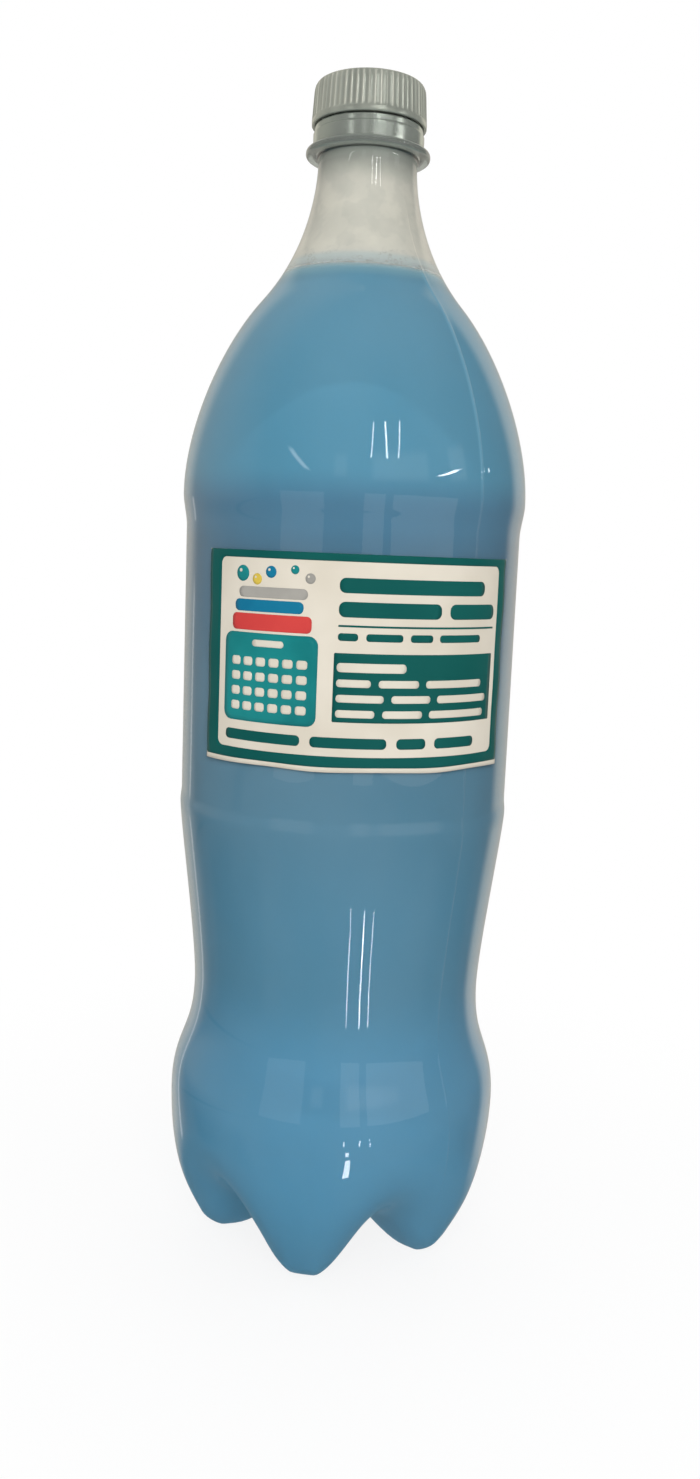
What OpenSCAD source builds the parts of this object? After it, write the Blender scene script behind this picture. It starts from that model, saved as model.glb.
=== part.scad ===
// Clear blow-moulded bottle with a screw cap, filled with blue laundry detergent.
// The origin is on the ground under the middle of the base, +Z is up, and the label faces -Y.
// All sizes are in millimetres.

/* [Base with feet] */
// Height of the widest part of the base above the ground
bulge_h = 42.8; // [40:0.2:48]
// Radius of the widest part of the base
bulge_r = 47.1; // [45:0.1:49]
// Number of feet
foot_count = 5; // [4:1:6]
// Turn of the first foot from the middle of the label, in degrees
foot_turn = -14.2; // [-36:0.2:36]
// Radius at which a foot's side turns in to its toe
toe_r = 37.8; // [36:0.2:39]
// Height of that turn above the ground
toe_h = 4.8; // [4:0.2:6]
// Outer radius of the pad that a foot stands on
pad_out_r = 31.2; // [30:0.2:32.5]
// Inner radius of the pad that a foot stands on
pad_in_r = 28; // [26:0.2:29]
// Height of the middle of the base above the ground
push_up = 11.5; // [9:0.5:14]

/* [Body] */
// Height from the bulge up to the middle of the waist
waist_rise = 33; // [29:0.5:38]
// Radius of the waist
waist_r = 41; // [39:0.1:43]
// Height from the waist up to the ridge under the label panel
ridge_rise = 52.2; // [46:0.2:60]
// Radius of the ridge
ridge_r = 46.1; // [45.9:0.1:47]
// Height from the ridge up to the label panel
panel_gap = 3.5; // [3:0.1:5]
// Radius of the label panel
panel_r = 45.8; // [44.5:0.1:46]
// Height of the label panel
panel_h = 72.5; // [66:0.5:85]
// Height of the step from the panel out to the shoulder
step_h = 8.5; // [6:0.5:12]
// Largest radius of the shoulder
shoulder_r = 46.8; // [46:0.1:48]
// Height of the shoulder, from its widest part up to the neck
shoulder_h = 88; // [80:1:100]
// Radius where the shoulder's curve turns over
knee_r = 27.2; // [25:0.2:30]
// Depth of that turn below the neck
knee_drop = 37.1; // [34:0.2:41]
// Wall of the blown body
wall = 0.5; // [0.4:0.05:0.8]

/* [Neck] */
// Radius of the neck below the support ring
neck_r = 13.1; // [12.9:0.05:13.6]
// Radius of the mouth
mouth_r = 10.87; // [10.2:0.01:11.2]
// Radius of the support ring
ring_r = 16.5; // [15.8:0.1:17.5]
// Thickness of the support ring
ring_t = 1.9; // [1.5:0.1:2.4]
// Radius of the neck wall above the ring
finish_r = 12.47; // [12.3:0.01:12.6]
// Height from the top of the support ring up to the lip
finish_h = 15.1; // [14.6:0.1:16.5]
// Radius of the bead that holds the tamper band down
bead_r = 13.7; // [13.5:0.05:13.8]
// Height of the bead above the support ring
bead_rise = 2.6; // [2.3:0.1:2.9]

/* [Thread] */
// Radius of the crest of the neck's thread
thread_r = 13.7; // [13.4:0.01:13.75]
// Rise of the thread in one turn
pitch = 2.7; // [2.6:0.05:3]
// Turns of thread on the neck
thread_turns = 1.8; // [1.2:0.1:2]

/* [Cap] */
// Outer radius of the cap at its lower rim
cap_r = 15.2; // [15:0.05:15.8]
// Outer radius of the cap at the top of its flutes
cap_top_r = 14.75; // [14.6:0.05:15]
// Radius of the inside wall of the cap
cap_bore_r = 14; // [13.95:0.01:14.05]
// Height of the cap
cap_h = 10.6; // [10.2:0.1:11.2]
// Thickness of the cap's top
cap_top_t = 1; // [0.8:0.1:1.4]
// Number of flutes round the cap
flute_count = 60; // [40:2:72]
// Depth of a flute
flute_depth = 0.3; // [0.15:0.05:0.4]
// Height of the plain rim below the flutes
cap_rim_h = 1.3; // [0.8:0.1:2]
// Thickness of the sealing disc
liner_t = 0.5; // [0.4:0.05:0.9]

/* [Tamper band] */
// Outer radius of the band's lower belt
belt_r = 14.7; // [14.5:0.05:15]
// Outer radius of the band's thin upper edge
band_edge_r = 14.35; // [14.25:0.05:14.4]
// Height of the band
band_h = 5.7; // [5.3:0.1:5.8]
// Height of the band's lower belt
belt_h = 4.1; // [3.6:0.1:4.6]

/* [Filling] */
// Height of the detergent's surface above the ground
fill_h = 269.6; // [215:0.2:280]

/* [Label] */
// Width of the label, along its curve
label_w = 89.2; // [84:0.2:100]
// Height of the label
label_h = 53.8; // [52:0.2:60]
// Height of the label's lower edge above the foot of the panel
label_rise = 12.8; // [6:0.2:14]
// Thickness of the label
label_t = 0.1; // [0.08:0.01:0.2]

/* [Hidden] */

// Fineness of round faces, and the sides of the base's mesh for each foot
$fn = 96;
foot_sides = 16;

// Clearances: detergent to wall, glue under the label, print over the paper, band to bead
fill_gap = 0.15;
glue_gap = 0.06;
print_gap = 0.06;
print_t = 0.08;
band_gap = 0.15;

// Heights of the body, from the ground up
waist_z = bulge_h + waist_rise;
ridge_z = waist_z + ridge_rise;
panel_z = ridge_z + panel_gap;
step_z = panel_z + panel_h;
shoulder_z = step_z + step_h;
neck_z = shoulder_z + shoulder_h;
knee_z = neck_z - knee_drop;

// Heights of the neck and the cap
ring_lip = 0.6;
ring_z = neck_z + ring_lip;
ring_top_z = ring_z + ring_t;
lip_z = ring_top_z + finish_h;
cap_z = lip_z + liner_t + cap_top_t - cap_h;

// Pulls of the body's curves: how far each leaves its end point straight
neck_pull = 9;
knee_pull = 17;
knee_slope = 49;
shoulder_pull = 16;
step_pull = 2.5;
ridge_pull = 1.3;
ridge_fall = 6.2;
waist_top_pull = 12;
waist_low_pull = 17.7;
bulge_top_pull = 14.6;

// Pulls of the base's curves, down a foot and down a valley between two feet
side_pull = 20.6;
toe_slope = 62;
toe_pull = 10.3;
toe_turn = 2.8;
pad_pull = 1.5;
arch_pull = 9;
valley_pull = 18.9;
valley_reach = 30.5;
foot_width = 1.15;
foot_flat = 1.04;

// The base's mould leaves a hairline step where it meets the body's mould
parting = 0.1;
base_r = bulge_r + parting;

// Curves

// Cubic curve from p0 to p3, with its pulls towards p1 and p2, in n steps
function curve(p0, p1, p2, p3, n) = [
    for (i = [0:n])
        let (t = i / n, u = 1 - t)
            u * u * u * p0 + 3 * u * u * t * p1 + 3 * u * t * t * p2 + t * t * t * p3
];

// A list without its first point, to join it to the one before
function rest(list) = [for (i = [1:len(list) - 1]) list[i]];

// A list from its last point to its first
function reversed(list) = [for (i = [len(list) - 1:-1:0]) list[i]];

// Inward normal of a line at point i, for a line that runs down and then in
function inward(line, i, first, last) =
    let (
        along = i == 0 ? first : i == len(line) - 1 ? last : line[i + 1] - line[i - 1],
        unit = along / norm(along)
    )
        [unit.y, -unit.x];

// A line moved inwards by the depth that depths[i] gives at each point
function inset(line, depths, first, last) = [
    for (i = [0:len(line) - 1]) line[i] + depths[i] * inward(line, i, first, last)
];

// Length run along a line up to each of its points, as a share of the whole
function shares(line) =
    let (
        last = len(line) - 1,
        runs = [
            for (i = 0, run = 0; i <= last; run = run + norm(line[min(i + 1, last)] - line[i]), i = i + 1) run
        ]
    )
        [for (run = runs) run / runs[last]];

down = [0, -1];
inwards = [-1, 0];

// Body profile

knee = [knee_r, knee_z];
knee_way = [cos(knee_slope), -sin(knee_slope)];
neck_curve = curve([neck_r, neck_z], [neck_r, neck_z - neck_pull], knee - knee_pull * knee_way, knee, 12);
shoulder = [shoulder_r, shoulder_z];
shoulder_curve = curve(knee, knee + knee_pull * knee_way, shoulder - shoulder_pull * down, shoulder, 14);
panel_top = [panel_r, step_z];
step_curve = curve(shoulder, shoulder + step_pull * down, panel_top - step_pull * down, panel_top, 6);
panel_foot = [panel_r, panel_z];
ridge = [ridge_r, ridge_z];
ridge_curve = curve(panel_foot, panel_foot + ridge_pull * down, ridge - ridge_pull * down, ridge, 4);
waist = [waist_r, waist_z];
waist_curve = curve(ridge, ridge + ridge_fall * down, waist - waist_top_pull * down, waist, 14);
bulge = [bulge_r, bulge_h];
hip_curve = curve(waist, waist + waist_low_pull * down, bulge - bulge_top_pull * down, bulge, 12);
body_line = concat(
    neck_curve, rest(shoulder_curve), rest(step_curve), ridge_curve, rest(waist_curve), rest(hip_curve)
);

// The wall thins from the neck to the knee, and then stays even
neck_wall = neck_r - mouth_r;
body_walls = [
    for (i = [0:len(body_line) - 1])
        let (t = min(i / (len(neck_curve) - 1), 1))
            neck_wall + (wall - neck_wall) * t
];
widest_r = max([for (p = body_line) p.x]);
inner_line = inset(body_line, body_walls, down, down);
fill_line = inset(body_line, [for (w = body_walls) w + fill_gap], down, down);

// Base surface

// Line down the middle of a foot, from the bulge to the middle of the base
toe = [toe_r, toe_h];
toe_way = [cos(toe_slope), sin(toe_slope)];
foot_line = concat(
    curve([base_r, bulge_h], [base_r, bulge_h - side_pull], toe + toe_pull * toe_way, toe, 8),
    rest(curve(toe, toe - toe_turn * toe_way, [pad_out_r + pad_pull, 0], [pad_out_r, 0], 3)),
    curve([pad_in_r, 0], [pad_in_r - arch_pull, 0], [arch_pull, push_up], [0, push_up], 6)
);

// Line down the middle of a valley, with a point for each point of the foot's line
valley_line = [
    for (t = shares(foot_line))
        let (
            u = 1 - t,
            p0 = [base_r, bulge_h],
            p1 = [base_r, bulge_h - valley_pull],
            p2 = [valley_reach, push_up],
            p3 = [0, push_up]
        )
            u * u * u * p0 + 3 * u * u * t * p1 + 3 * u * t * t * p2 + t * t * t * p3
];

base_sides = foot_count * foot_sides;
base_rings = len(foot_line) - 1;

// How far the surface is a foot (1) or a valley (0), at a turn away from the foot's middle
function foot_share(turn) = min(1, foot_flat * (1 - pow((1 - cos(foot_count * turn)) / 2, foot_width)));

// Points of the base's skin at a depth inside its outer face: rings from the bulge in, then the middle
function base_points(depth) =
    let (
        depths = [for (p = foot_line) depth],
        foot = inset(foot_line, depths, down, inwards),
        valley = inset(valley_line, depths, down, inwards)
    )
        [
            for (k = [0:base_rings - 1])
                for (j = [0:base_sides - 1])
                    let (
                        turn = 360 * j / base_sides,
                        p = valley[k] + (foot[k] - valley[k]) * foot_share(turn),
                        a = turn + foot_turn - 90
                    )
                        [p.x * cos(a), p.x * sin(a), p.y],
            [0, 0, push_up + depth]
        ];

// Number of a point on ring k and side j of a skin whose points begin at start
function at(start, k, j) = start + k * base_sides + j % base_sides;

// Triangles of a skin that begins at point start, seen from below, or from above if turned
function skin_faces(start, turned) =
    let (
        middle = start + base_rings * base_sides,
        faces = [
            for (k = [0:base_rings - 2])
                for (j = [0:base_sides - 1])
                    each [
                        [at(start, k, j), at(start, k, j + 1), at(start, k + 1, j + 1)],
                        [at(start, k, j), at(start, k + 1, j + 1), at(start, k + 1, j)]
                    ],
            for (j = [0:base_sides - 1])
                [at(start, base_rings - 1, j), at(start, base_rings - 1, j + 1), middle]
        ]
    )
        turned ? [for (f = faces) reversed(f)] : faces;

// Base of the bottle, between the bulge and the ground
module base_shell() {
    outer = base_points(0);
    inner = base_points(wall);
    start = len(outer);
    rim = [
        for (j = [0:base_sides - 1])
            each [
                [at(0, 0, j + 1), at(0, 0, j), at(start, 0, j)],
                [at(0, 0, j + 1), at(start, 0, j), at(start, 0, j + 1)]
            ]
    ];
    polyhedron(concat(outer, inner), concat(skin_faces(0, false), skin_faces(start, true), rim));
}

// Filling of the base
module base_fill() {
    points = base_points(wall + fill_gap);
    lid = [for (j = [base_sides - 1:-1:0]) at(0, 0, j)];
    polyhedron(points, concat(skin_faces(0, false), [lid]));
}

// Threads

// Ridge wound on a round wall, from a root sunk in it to the crest. Its widths are at the root and the crest
module thread_ridge(root, crest, low_z, turns, widths) {
    sides = 32;
    steps = round(turns * sides);
    fade = 5;
    points = [
        for (i = [0:steps])
            let (
                a = 360 * i / sides,
                z = low_z + pitch * i / sides,
                rise = min(1, (i + 0.6) / fade, (steps - i + 0.6) / fade),
                top = root + (crest - root) * rise,
                w = widths[1] + (widths[0] - widths[1]) * (1 - rise)
            )
                each [
                    for (p = [[root, -widths[0] / 2], [top, -w / 2], [top, w / 2], [root, widths[0] / 2]])
                        [p.x * cos(a), p.x * sin(a), z + p.y]
                ]
    ];
    sides_faces = [
        for (i = [0:steps - 1])
            for (k = [0:3])
                let (a = 4 * i + k, b = 4 * i + (k + 1) % 4)
                    each [[a, b, b + 4], [a, b + 4, a + 4]]
    ];
    ends = [[3, 2, 1, 0], [for (k = [0:3]) 4 * steps + k]];
    faces = concat(sides_faces, ends);
    polyhedron(points, crest > root ? faces : [for (f = faces) reversed(f)]);
}

// Neck

// Outline of the neck, up inside the mouth, over the lip, and down past the bead and the support ring
lip_round = 0.5;
ring_edge = 0.7;
edge = 0.25;
groove_r = 12.9;
bead_h = 1.5;
thread_drop = 1.7;
thread_widths = [1.9, 0.9];
root_sink = 0.3;
neck_thread_z = lip_z - thread_drop - thread_turns * pitch;
finish_line = [
    [mouth_r, neck_z],
    [mouth_r, lip_z - lip_round],
    [mouth_r + lip_round, lip_z],
    [finish_r - lip_round, lip_z],
    [finish_r, lip_z - lip_round],
    [finish_r, ring_top_z + bead_rise + bead_h],
    [bead_r, ring_top_z + bead_rise + bead_h / 2],
    [bead_r, ring_top_z + bead_rise],
    [groove_r, ring_top_z + bead_rise],
    [groove_r, ring_top_z],
    [ring_r - ring_edge, ring_top_z],
    [ring_r - edge, ring_top_z - edge],
    [ring_r, ring_z + ring_t / 2],
    [ring_r - edge, ring_z + edge],
    [ring_r - ring_edge, ring_z],
    [neck_r + lip_round, ring_z]
];

module bottle() {
    color([0.80, 0.86, 0.88, 0.35]) {
        rotate_extrude()
            polygon(concat(finish_line, body_line, reversed(inner_line)));
        base_shell();
        thread_ridge(finish_r - root_sink, thread_r, neck_thread_z, thread_turns, thread_widths);
    }
}

module detergent() {
    color([0.35, 0.57, 0.69]) {
        rotate_extrude()
            intersection() {
                polygon(concat([[0, neck_z]], fill_line, [[0, bulge_h]]));
                square([widest_r, fill_h]);
            }
        base_fill();
    }
}

// Cap

crown_h = 2.4;
crown_in = 1.6;
flute_stop_z = cap_z + cap_h - crown_h;

module cap_outline() {
    top_z = cap_z + cap_h;
    polygon([
        [0, cap_z],
        [cap_r - edge, cap_z],
        [cap_r, cap_z + edge],
        [cap_r, cap_z + cap_rim_h],
        [cap_top_r, flute_stop_z],
        [cap_top_r - edge, top_z - crown_h / 2],
        [cap_top_r - crown_in / 2, top_z - crown_h / 5],
        [cap_top_r - crown_in, top_z],
        [0, top_z]
    ]);
}

// The cap's thread lies half a turn of rise below the neck's, so that each has the same room on both sides
thread_gap = 0.35;
cap_turns = 1.6;
cap_widths = [1.6, 0.6];
cap_thread_z = neck_thread_z - pitch / 2;

module cap() {
    flute_r = 0.8;
    lean = atan((cap_r - cap_top_r) / (flute_stop_z - cap_z - cap_rim_h));
    color([0.62, 0.63, 0.58]) {
        difference() {
            rotate_extrude() cap_outline();
            translate([0, 0, cap_z - 1]) cylinder(r = cap_bore_r, h = cap_h - cap_top_t + 1);
            for (i = [0:flute_count - 1])
                rotate([0, 0, 360 * i / flute_count])
                    translate([cap_r + flute_r - flute_depth, 0, cap_z + cap_rim_h])
                        rotate([0, -lean, 0])
                            cylinder(r = flute_r, h = cap_h);
        }
        thread_ridge(cap_bore_r + root_sink, finish_r + thread_gap, cap_thread_z, cap_turns, cap_widths);
    }
}

module cap_liner() {
    liner_gap = 0.6;
    color([0.88, 0.88, 0.85])
        translate([0, 0, lip_z])
            cylinder(r = cap_bore_r - liner_gap, h = liner_t);
}

module tamper_band() {
    hook_z = 0.6;
    hook_h = 1.1;
    hook_r = groove_r + thread_gap;
    inner_r = bead_r + band_gap;
    color([0.60, 0.62, 0.58])
        rotate_extrude()
            polygon([
                [inner_r, ring_top_z],
                [belt_r - edge, ring_top_z],
                [belt_r, ring_top_z + edge],
                [belt_r, ring_top_z + belt_h - edge],
                [belt_r - edge, ring_top_z + belt_h],
                [band_edge_r, ring_top_z + belt_h],
                [band_edge_r, ring_top_z + band_h],
                [inner_r, ring_top_z + band_h],
                [inner_r, ring_top_z + hook_z + 2 * hook_h],
                [hook_r, ring_top_z + hook_z + hook_h],
                [hook_r, ring_top_z + hook_z]
            ]);
}

// Label

paper_r = panel_r + glue_gap;
ink_r = paper_r + label_t + print_gap;
label_z = panel_z + label_rise;

// Turn, in degrees, for a length along the label's curve
function turn_of(x) = x / paper_r * 180 / PI;

// Thin curved plate between two lengths along the curve, over the label's whole height
module plate(x0, x1, r, t) {
    rotate([0, 0, turn_of(x0) - 90])
        rotate_extrude(angle = turn_of(x1 - x0))
            translate([r, label_z])
                square([t, label_h]);
}

// Layer of print whose outline is drawn flat, as it is seen from in front of the label
module printed() {
    intersection() {
        plate(-label_w / 2, label_w / 2, ink_r, print_t);
        translate([0, 0, label_z])
            rotate([90, 0, 0])
                linear_extrude(height = 2 * panel_r)
                    children();
    }
}

// The artwork is drawn on this grid, stretched over the label: x from its middle, z from its foot
art_w = 90;
art_h = 54;

// Outline whose points are places on the artwork's grid
module outline(points) {
    polygon([for (p = points) [ink_r * sin(turn_of(p.x / art_w * label_w)), p.y / art_h * label_h]]);
}

// Plain field between two lengths and two heights
module field(x0, x1, z0, z1) {
    outline([[x0, z0], [x1, z0], [x1, z1], [x0, z1]]);
}

// Round spot
module spot(x, z, r) {
    outline([for (a = [0:15:345]) [x + r * cos(a), z + r * sin(a)]]);
}

// Field with round corners
module round_field(x0, x1, z0, z1, corner) {
    xs = [x1 - corner, x0 + corner];
    zs = [z1 - corner, z0 + corner];
    centres = [[xs[0], zs[0]], [xs[1], zs[0]], [xs[1], zs[1]], [xs[0], zs[1]]];
    outline([
        for (i = [0:3])
            for (a = [0:18:90])
                centres[i] + corner * [cos(a + 90 * i), sin(a + 90 * i)]
    ]);
}

// Line of bars that stands for words: lengths are the words, with even spaces between them
module words(x, z, height, lengths, space) {
    starts = [for (i = 0, at = x; i < len(lengths); at = at + lengths[i] + space, i = i + 1) at];
    for (i = [0:len(lengths) - 1]) field(starts[i], starts[i] + lengths[i], z, z + height);
}

// Rows of words, one line for each row
module rows(x, list) {
    for (row = list) words(x, row[0], row[1], row[3], row[2]);
}

page = [-40.4, 41.4, 3.9, 52.1];
page_corner = 1.8;
frame_z = 1.2;
box = [-7.2, 39.6, 12.6, 29.8];
rule_z = [36.2, 36.7];
text_x = -6.4;
foot_text_x = -37.4;

// A row is its foot, its height, the space between words, and the lengths of the words
head_rows = [
    [44.5, 3.7, 2, [41.4]],
    [38.6, 3.8, 2.6, [26.8, 16.6]],
    [32.8, 1.9, 2, [5, 9.4, 6.2, 13.8]]
];
box_rows = [
    [25.1, 2.3, 2, [17.6]],
    [21.4, 1.9, 2, [8.6, 10.6, 18.4]],
    [17.6, 1.9, 2, [12, 10.6, 17.2]],
    [13.8, 1.9, 2, [9.8, 10.6, 18.6]]
];
foot_rows = [[6, 2.7, 2.6, [22.2, 19.4, 8, 13.2]]];

module label() {
    color([0.87, 0.84, 0.78])
        plate(-label_w / 2, label_w / 2, paper_r, label_t);
}

module label_green_print() {
    color([0.03, 0.35, 0.33])
        printed() {
            difference() {
                field(-art_w / 2 - 1, art_w / 2 + 1, frame_z, art_h + 1);
                round_field(page[0], page[1], page[2], page[3], page_corner);
            }
            difference() {
                field(box[0], box[1], box[2], box[3]);
                rows(text_x, box_rows);
            }
            field(text_x, box[1], rule_z[0], rule_z[1]);
            rows(text_x, head_rows);
            rows(foot_text_x, foot_rows);
        }
}

// Picture: a washing basket with a pile of folded towels and bubbles over it
pic = [-38.2, -11.2];
basket_z = [11, 33.5];
basket_corner = 2.4;
slot_rows = 4;
slot_count = 6;
slot_step = 3.8;
slot_w = 2.8;
slot_h = 2.2;
slot_foot = 2.8;
grip_w = 9;
grip_h = 1.7;
grip_drop = 3.4;
towel_corner = 1.3;

// A towel is what it leaves free at the picture's left and right, its foot and its height
red_towel = [2.4, 1.8, 34.1, 4.2];
blue_towel = [3.2, 4, 38.8, 3];
grey_towel = [4.4, 3, 42.3, 2.7];

// A bubble is its place from the picture's left, its height and its radius
teal_bubbles = [[5.5, 48.2, 2], [20.5, 49.6, 1.1]];
blue_bubbles = [[14, 48.8, 1.5]];
grey_bubbles = [[24.5, 47.6, 1.3]];
yellow_bubbles = [[10, 46.9, 1.4]];

module towel(t) {
    round_field(pic[0] + t[0], pic[1] - t[1], t[2], t[2] + t[3], towel_corner);
}

module bubbles(list) {
    for (b = list) spot(pic[0] + b.x, b.y, b.z);
}

module basket() {
    slots_w = slot_step * (slot_count - 1) + slot_w;
    middle = (pic[0] + pic[1]) / 2;
    grip_z = basket_z[1] - grip_drop;
    difference() {
        round_field(pic[0], pic[1], basket_z[0], basket_z[1], basket_corner);
        for (row = [0:slot_rows - 1], i = [0:slot_count - 1])
            let (x = middle - slots_w / 2 + slot_step * i, z = basket_z[0] + slot_foot + slot_step * row)
                field(x, x + slot_w, z, z + slot_h);
        field(middle - grip_w / 2, middle + grip_w / 2, grip_z, grip_z + grip_h);
    }
}

module label_teal_print() {
    color([0.05, 0.50, 0.52])
        printed() {
            basket();
            bubbles(teal_bubbles);
        }
}

module label_red_print() {
    color([0.80, 0.22, 0.22])
        printed()
            towel(red_towel);
}

module label_blue_print() {
    color([0.05, 0.42, 0.58])
        printed() {
            towel(blue_towel);
            bubbles(blue_bubbles);
        }
}

module label_grey_print() {
    color([0.62, 0.62, 0.60])
        printed() {
            towel(grey_towel);
            bubbles(grey_bubbles);
        }
}

module label_yellow_print() {
    color([0.87, 0.76, 0.30])
        printed()
            bubbles(yellow_bubbles);
}

bottle();
detergent();
cap();
cap_liner();
tamper_band();
label();
label_green_print();
label_teal_print();
label_red_print();
label_blue_print();
label_grey_print();
label_yellow_print();
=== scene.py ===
"""Looks of a clear bottle of blue laundry liquid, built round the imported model.

Shapes are worked out in millimetres, with +Z up, the origin on the ground under the
middle of the base and the label facing -Y. A mesh is turned into metres when it is made.
"""

import logging
import math
from dataclasses import dataclass
from enum import Enum

import bpy
import numpy as np
from bpy.types import Material, Node, NodeSocket, NodeTree, Object
from mathutils import Matrix, Vector

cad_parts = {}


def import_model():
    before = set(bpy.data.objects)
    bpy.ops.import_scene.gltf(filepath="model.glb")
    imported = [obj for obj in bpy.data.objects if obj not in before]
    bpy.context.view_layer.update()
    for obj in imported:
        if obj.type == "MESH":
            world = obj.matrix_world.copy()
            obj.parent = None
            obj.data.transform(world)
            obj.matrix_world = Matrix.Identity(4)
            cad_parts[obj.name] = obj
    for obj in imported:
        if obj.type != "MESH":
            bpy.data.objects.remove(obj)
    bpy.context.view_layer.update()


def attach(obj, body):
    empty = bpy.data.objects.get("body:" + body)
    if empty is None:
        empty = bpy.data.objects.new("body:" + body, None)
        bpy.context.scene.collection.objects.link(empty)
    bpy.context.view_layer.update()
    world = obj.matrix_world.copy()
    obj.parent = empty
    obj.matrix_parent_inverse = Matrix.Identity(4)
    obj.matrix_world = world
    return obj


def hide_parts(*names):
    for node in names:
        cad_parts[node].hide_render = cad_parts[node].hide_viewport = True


MM = 0.001
LOG = logging.getLogger("bottle")

Colour = tuple[float, float, float]
Stretch = tuple[float, float, float]


class Body(Enum):
    """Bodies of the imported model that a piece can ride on."""

    BOTTLE = "bottle"
    LINER = "liner"
    CAP = "cap"


class Slot(Enum):
    """Material slots of the record."""

    CLEAR = "clear_plastic"
    DETERGENT = "detergent"
    CAP = "cap_plastic"
    LINER = "liner_plastic"
    BAND = "band_plastic"
    PAPER = "label_paper"
    GREEN = "green_ink"
    TEAL = "teal_ink"
    RED = "red_ink"
    BLUE = "blue_ink"
    GREY = "grey_ink"
    YELLOW = "yellow_ink"


def linear(red: float, green: float, blue: float) -> Colour:
    """Turns a colour as seen on screen, 0 to 255, into linear light.

    Args:
        red: Red channel.
        green: Green channel.
        blue: Blue channel.

    Returns:
        The three channels as linear light from 0 to 1.
    """
    seen = np.array([red, green, blue]) / 255
    low, high = seen / 12.92, ((seen + 0.055) / 1.055) ** 2.4
    return tuple(float(c) for c in np.where(seen <= 0.04045, low, high))


# Lines and surfaces


def cubic(p0: tuple, p1: tuple, p2: tuple, p3: tuple, steps: int) -> np.ndarray:
    """Cubic curve from p0 to p3 with its pulls towards p1 and p2.

    The point at share t is u³p0 + 3u²t p1 + 3ut² p2 + t³p3, with u = 1 - t.

    Args:
        p0: Start, as radius and height.
        p1: First pull.
        p2: Second pull.
        p3: End.
        steps: Number of steps along the curve.

    Returns:
        Points as rows of radius and height.
    """
    t = np.linspace(0, 1, steps + 1)[:, None]
    u = 1 - t
    a, b, c, d = (np.asarray(p, float) for p in (p0, p1, p2, p3))
    return u**3 * a + 3 * u * u * t * b + 3 * u * t * t * c + t**3 * d


def joined(*lines: np.ndarray) -> np.ndarray:
    """Joins lines end to end, without the first point of each line after the first."""
    return np.concatenate([lines[0], *(line[1:] for line in lines[1:])])


def shares(line: np.ndarray) -> np.ndarray:
    """Length run along a line up to each of its points, as a share of the whole."""
    run = np.concatenate([[0], np.cumsum(np.linalg.norm(np.diff(line, axis=0), axis=1))])
    return run / run[-1]


def inset(line: np.ndarray, depth: np.ndarray, last: tuple = (0, -1)) -> np.ndarray:
    """Moves a line that runs down and in by a depth along its inward normal.

    The normal of a point turns the direction between its neighbours by a right angle.

    Args:
        line: Points as rows of radius and height.
        depth: Depth for each point, or one for all.
        last: Direction of the line at its last point.

    Returns:
        The moved points.
    """
    along = np.empty_like(line)
    along[1:-1] = line[2:] - line[:-2]
    along[0], along[-1] = (0, -1), last
    along /= np.linalg.norm(along, axis=1)[:, None]
    normal = np.stack([along[:, 1], -along[:, 0]], -1)
    return line + np.broadcast_to(depth, len(line))[:, None] * normal


def circle(count: int) -> np.ndarray:
    """Angles of evenly spaced columns, in radians from +X."""
    return np.arange(count) * 2 * math.pi / count


def polar(r: np.ndarray, angles: np.ndarray, z: np.ndarray) -> np.ndarray:
    """Points (r cos a, r sin a, z), for radii, angles and heights that fit together."""
    return np.stack(np.broadcast_arrays(r * np.cos(angles), r * np.sin(angles), z), -1)


def revolve(line: np.ndarray, angles: np.ndarray) -> np.ndarray:
    """Turns a line about the axis: (r cos a, r sin a, z) for each point and angle.

    Args:
        line: Points as rows of radius and height.
        angles: Angles from +X, in radians.

    Returns:
        Grid of points, one row for each point of the line.
    """
    return polar(line[:, :1], angles, line[:, 1:])


def bump(x: np.ndarray, width: float) -> np.ndarray:
    """Bell of height 1 and the given half width: exp(-(x / width)²)."""
    return np.exp(-((x / width) ** 2))


def ease(x: np.ndarray, low: float, high: float) -> np.ndarray:
    """Rises smoothly from 0 at low to 1 at high: 3t² - 2t³ of the clamped share t."""
    t = np.clip((x - low) / (high - low), 0, 1)
    return t * t * (3 - 2 * t)


def angle_gap(angles: np.ndarray, place: float) -> np.ndarray:
    """Signed turn from a place to each angle, between half a turn back and half a turn on."""
    return (angles - place + math.pi) % (2 * math.pi) - math.pi


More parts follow.
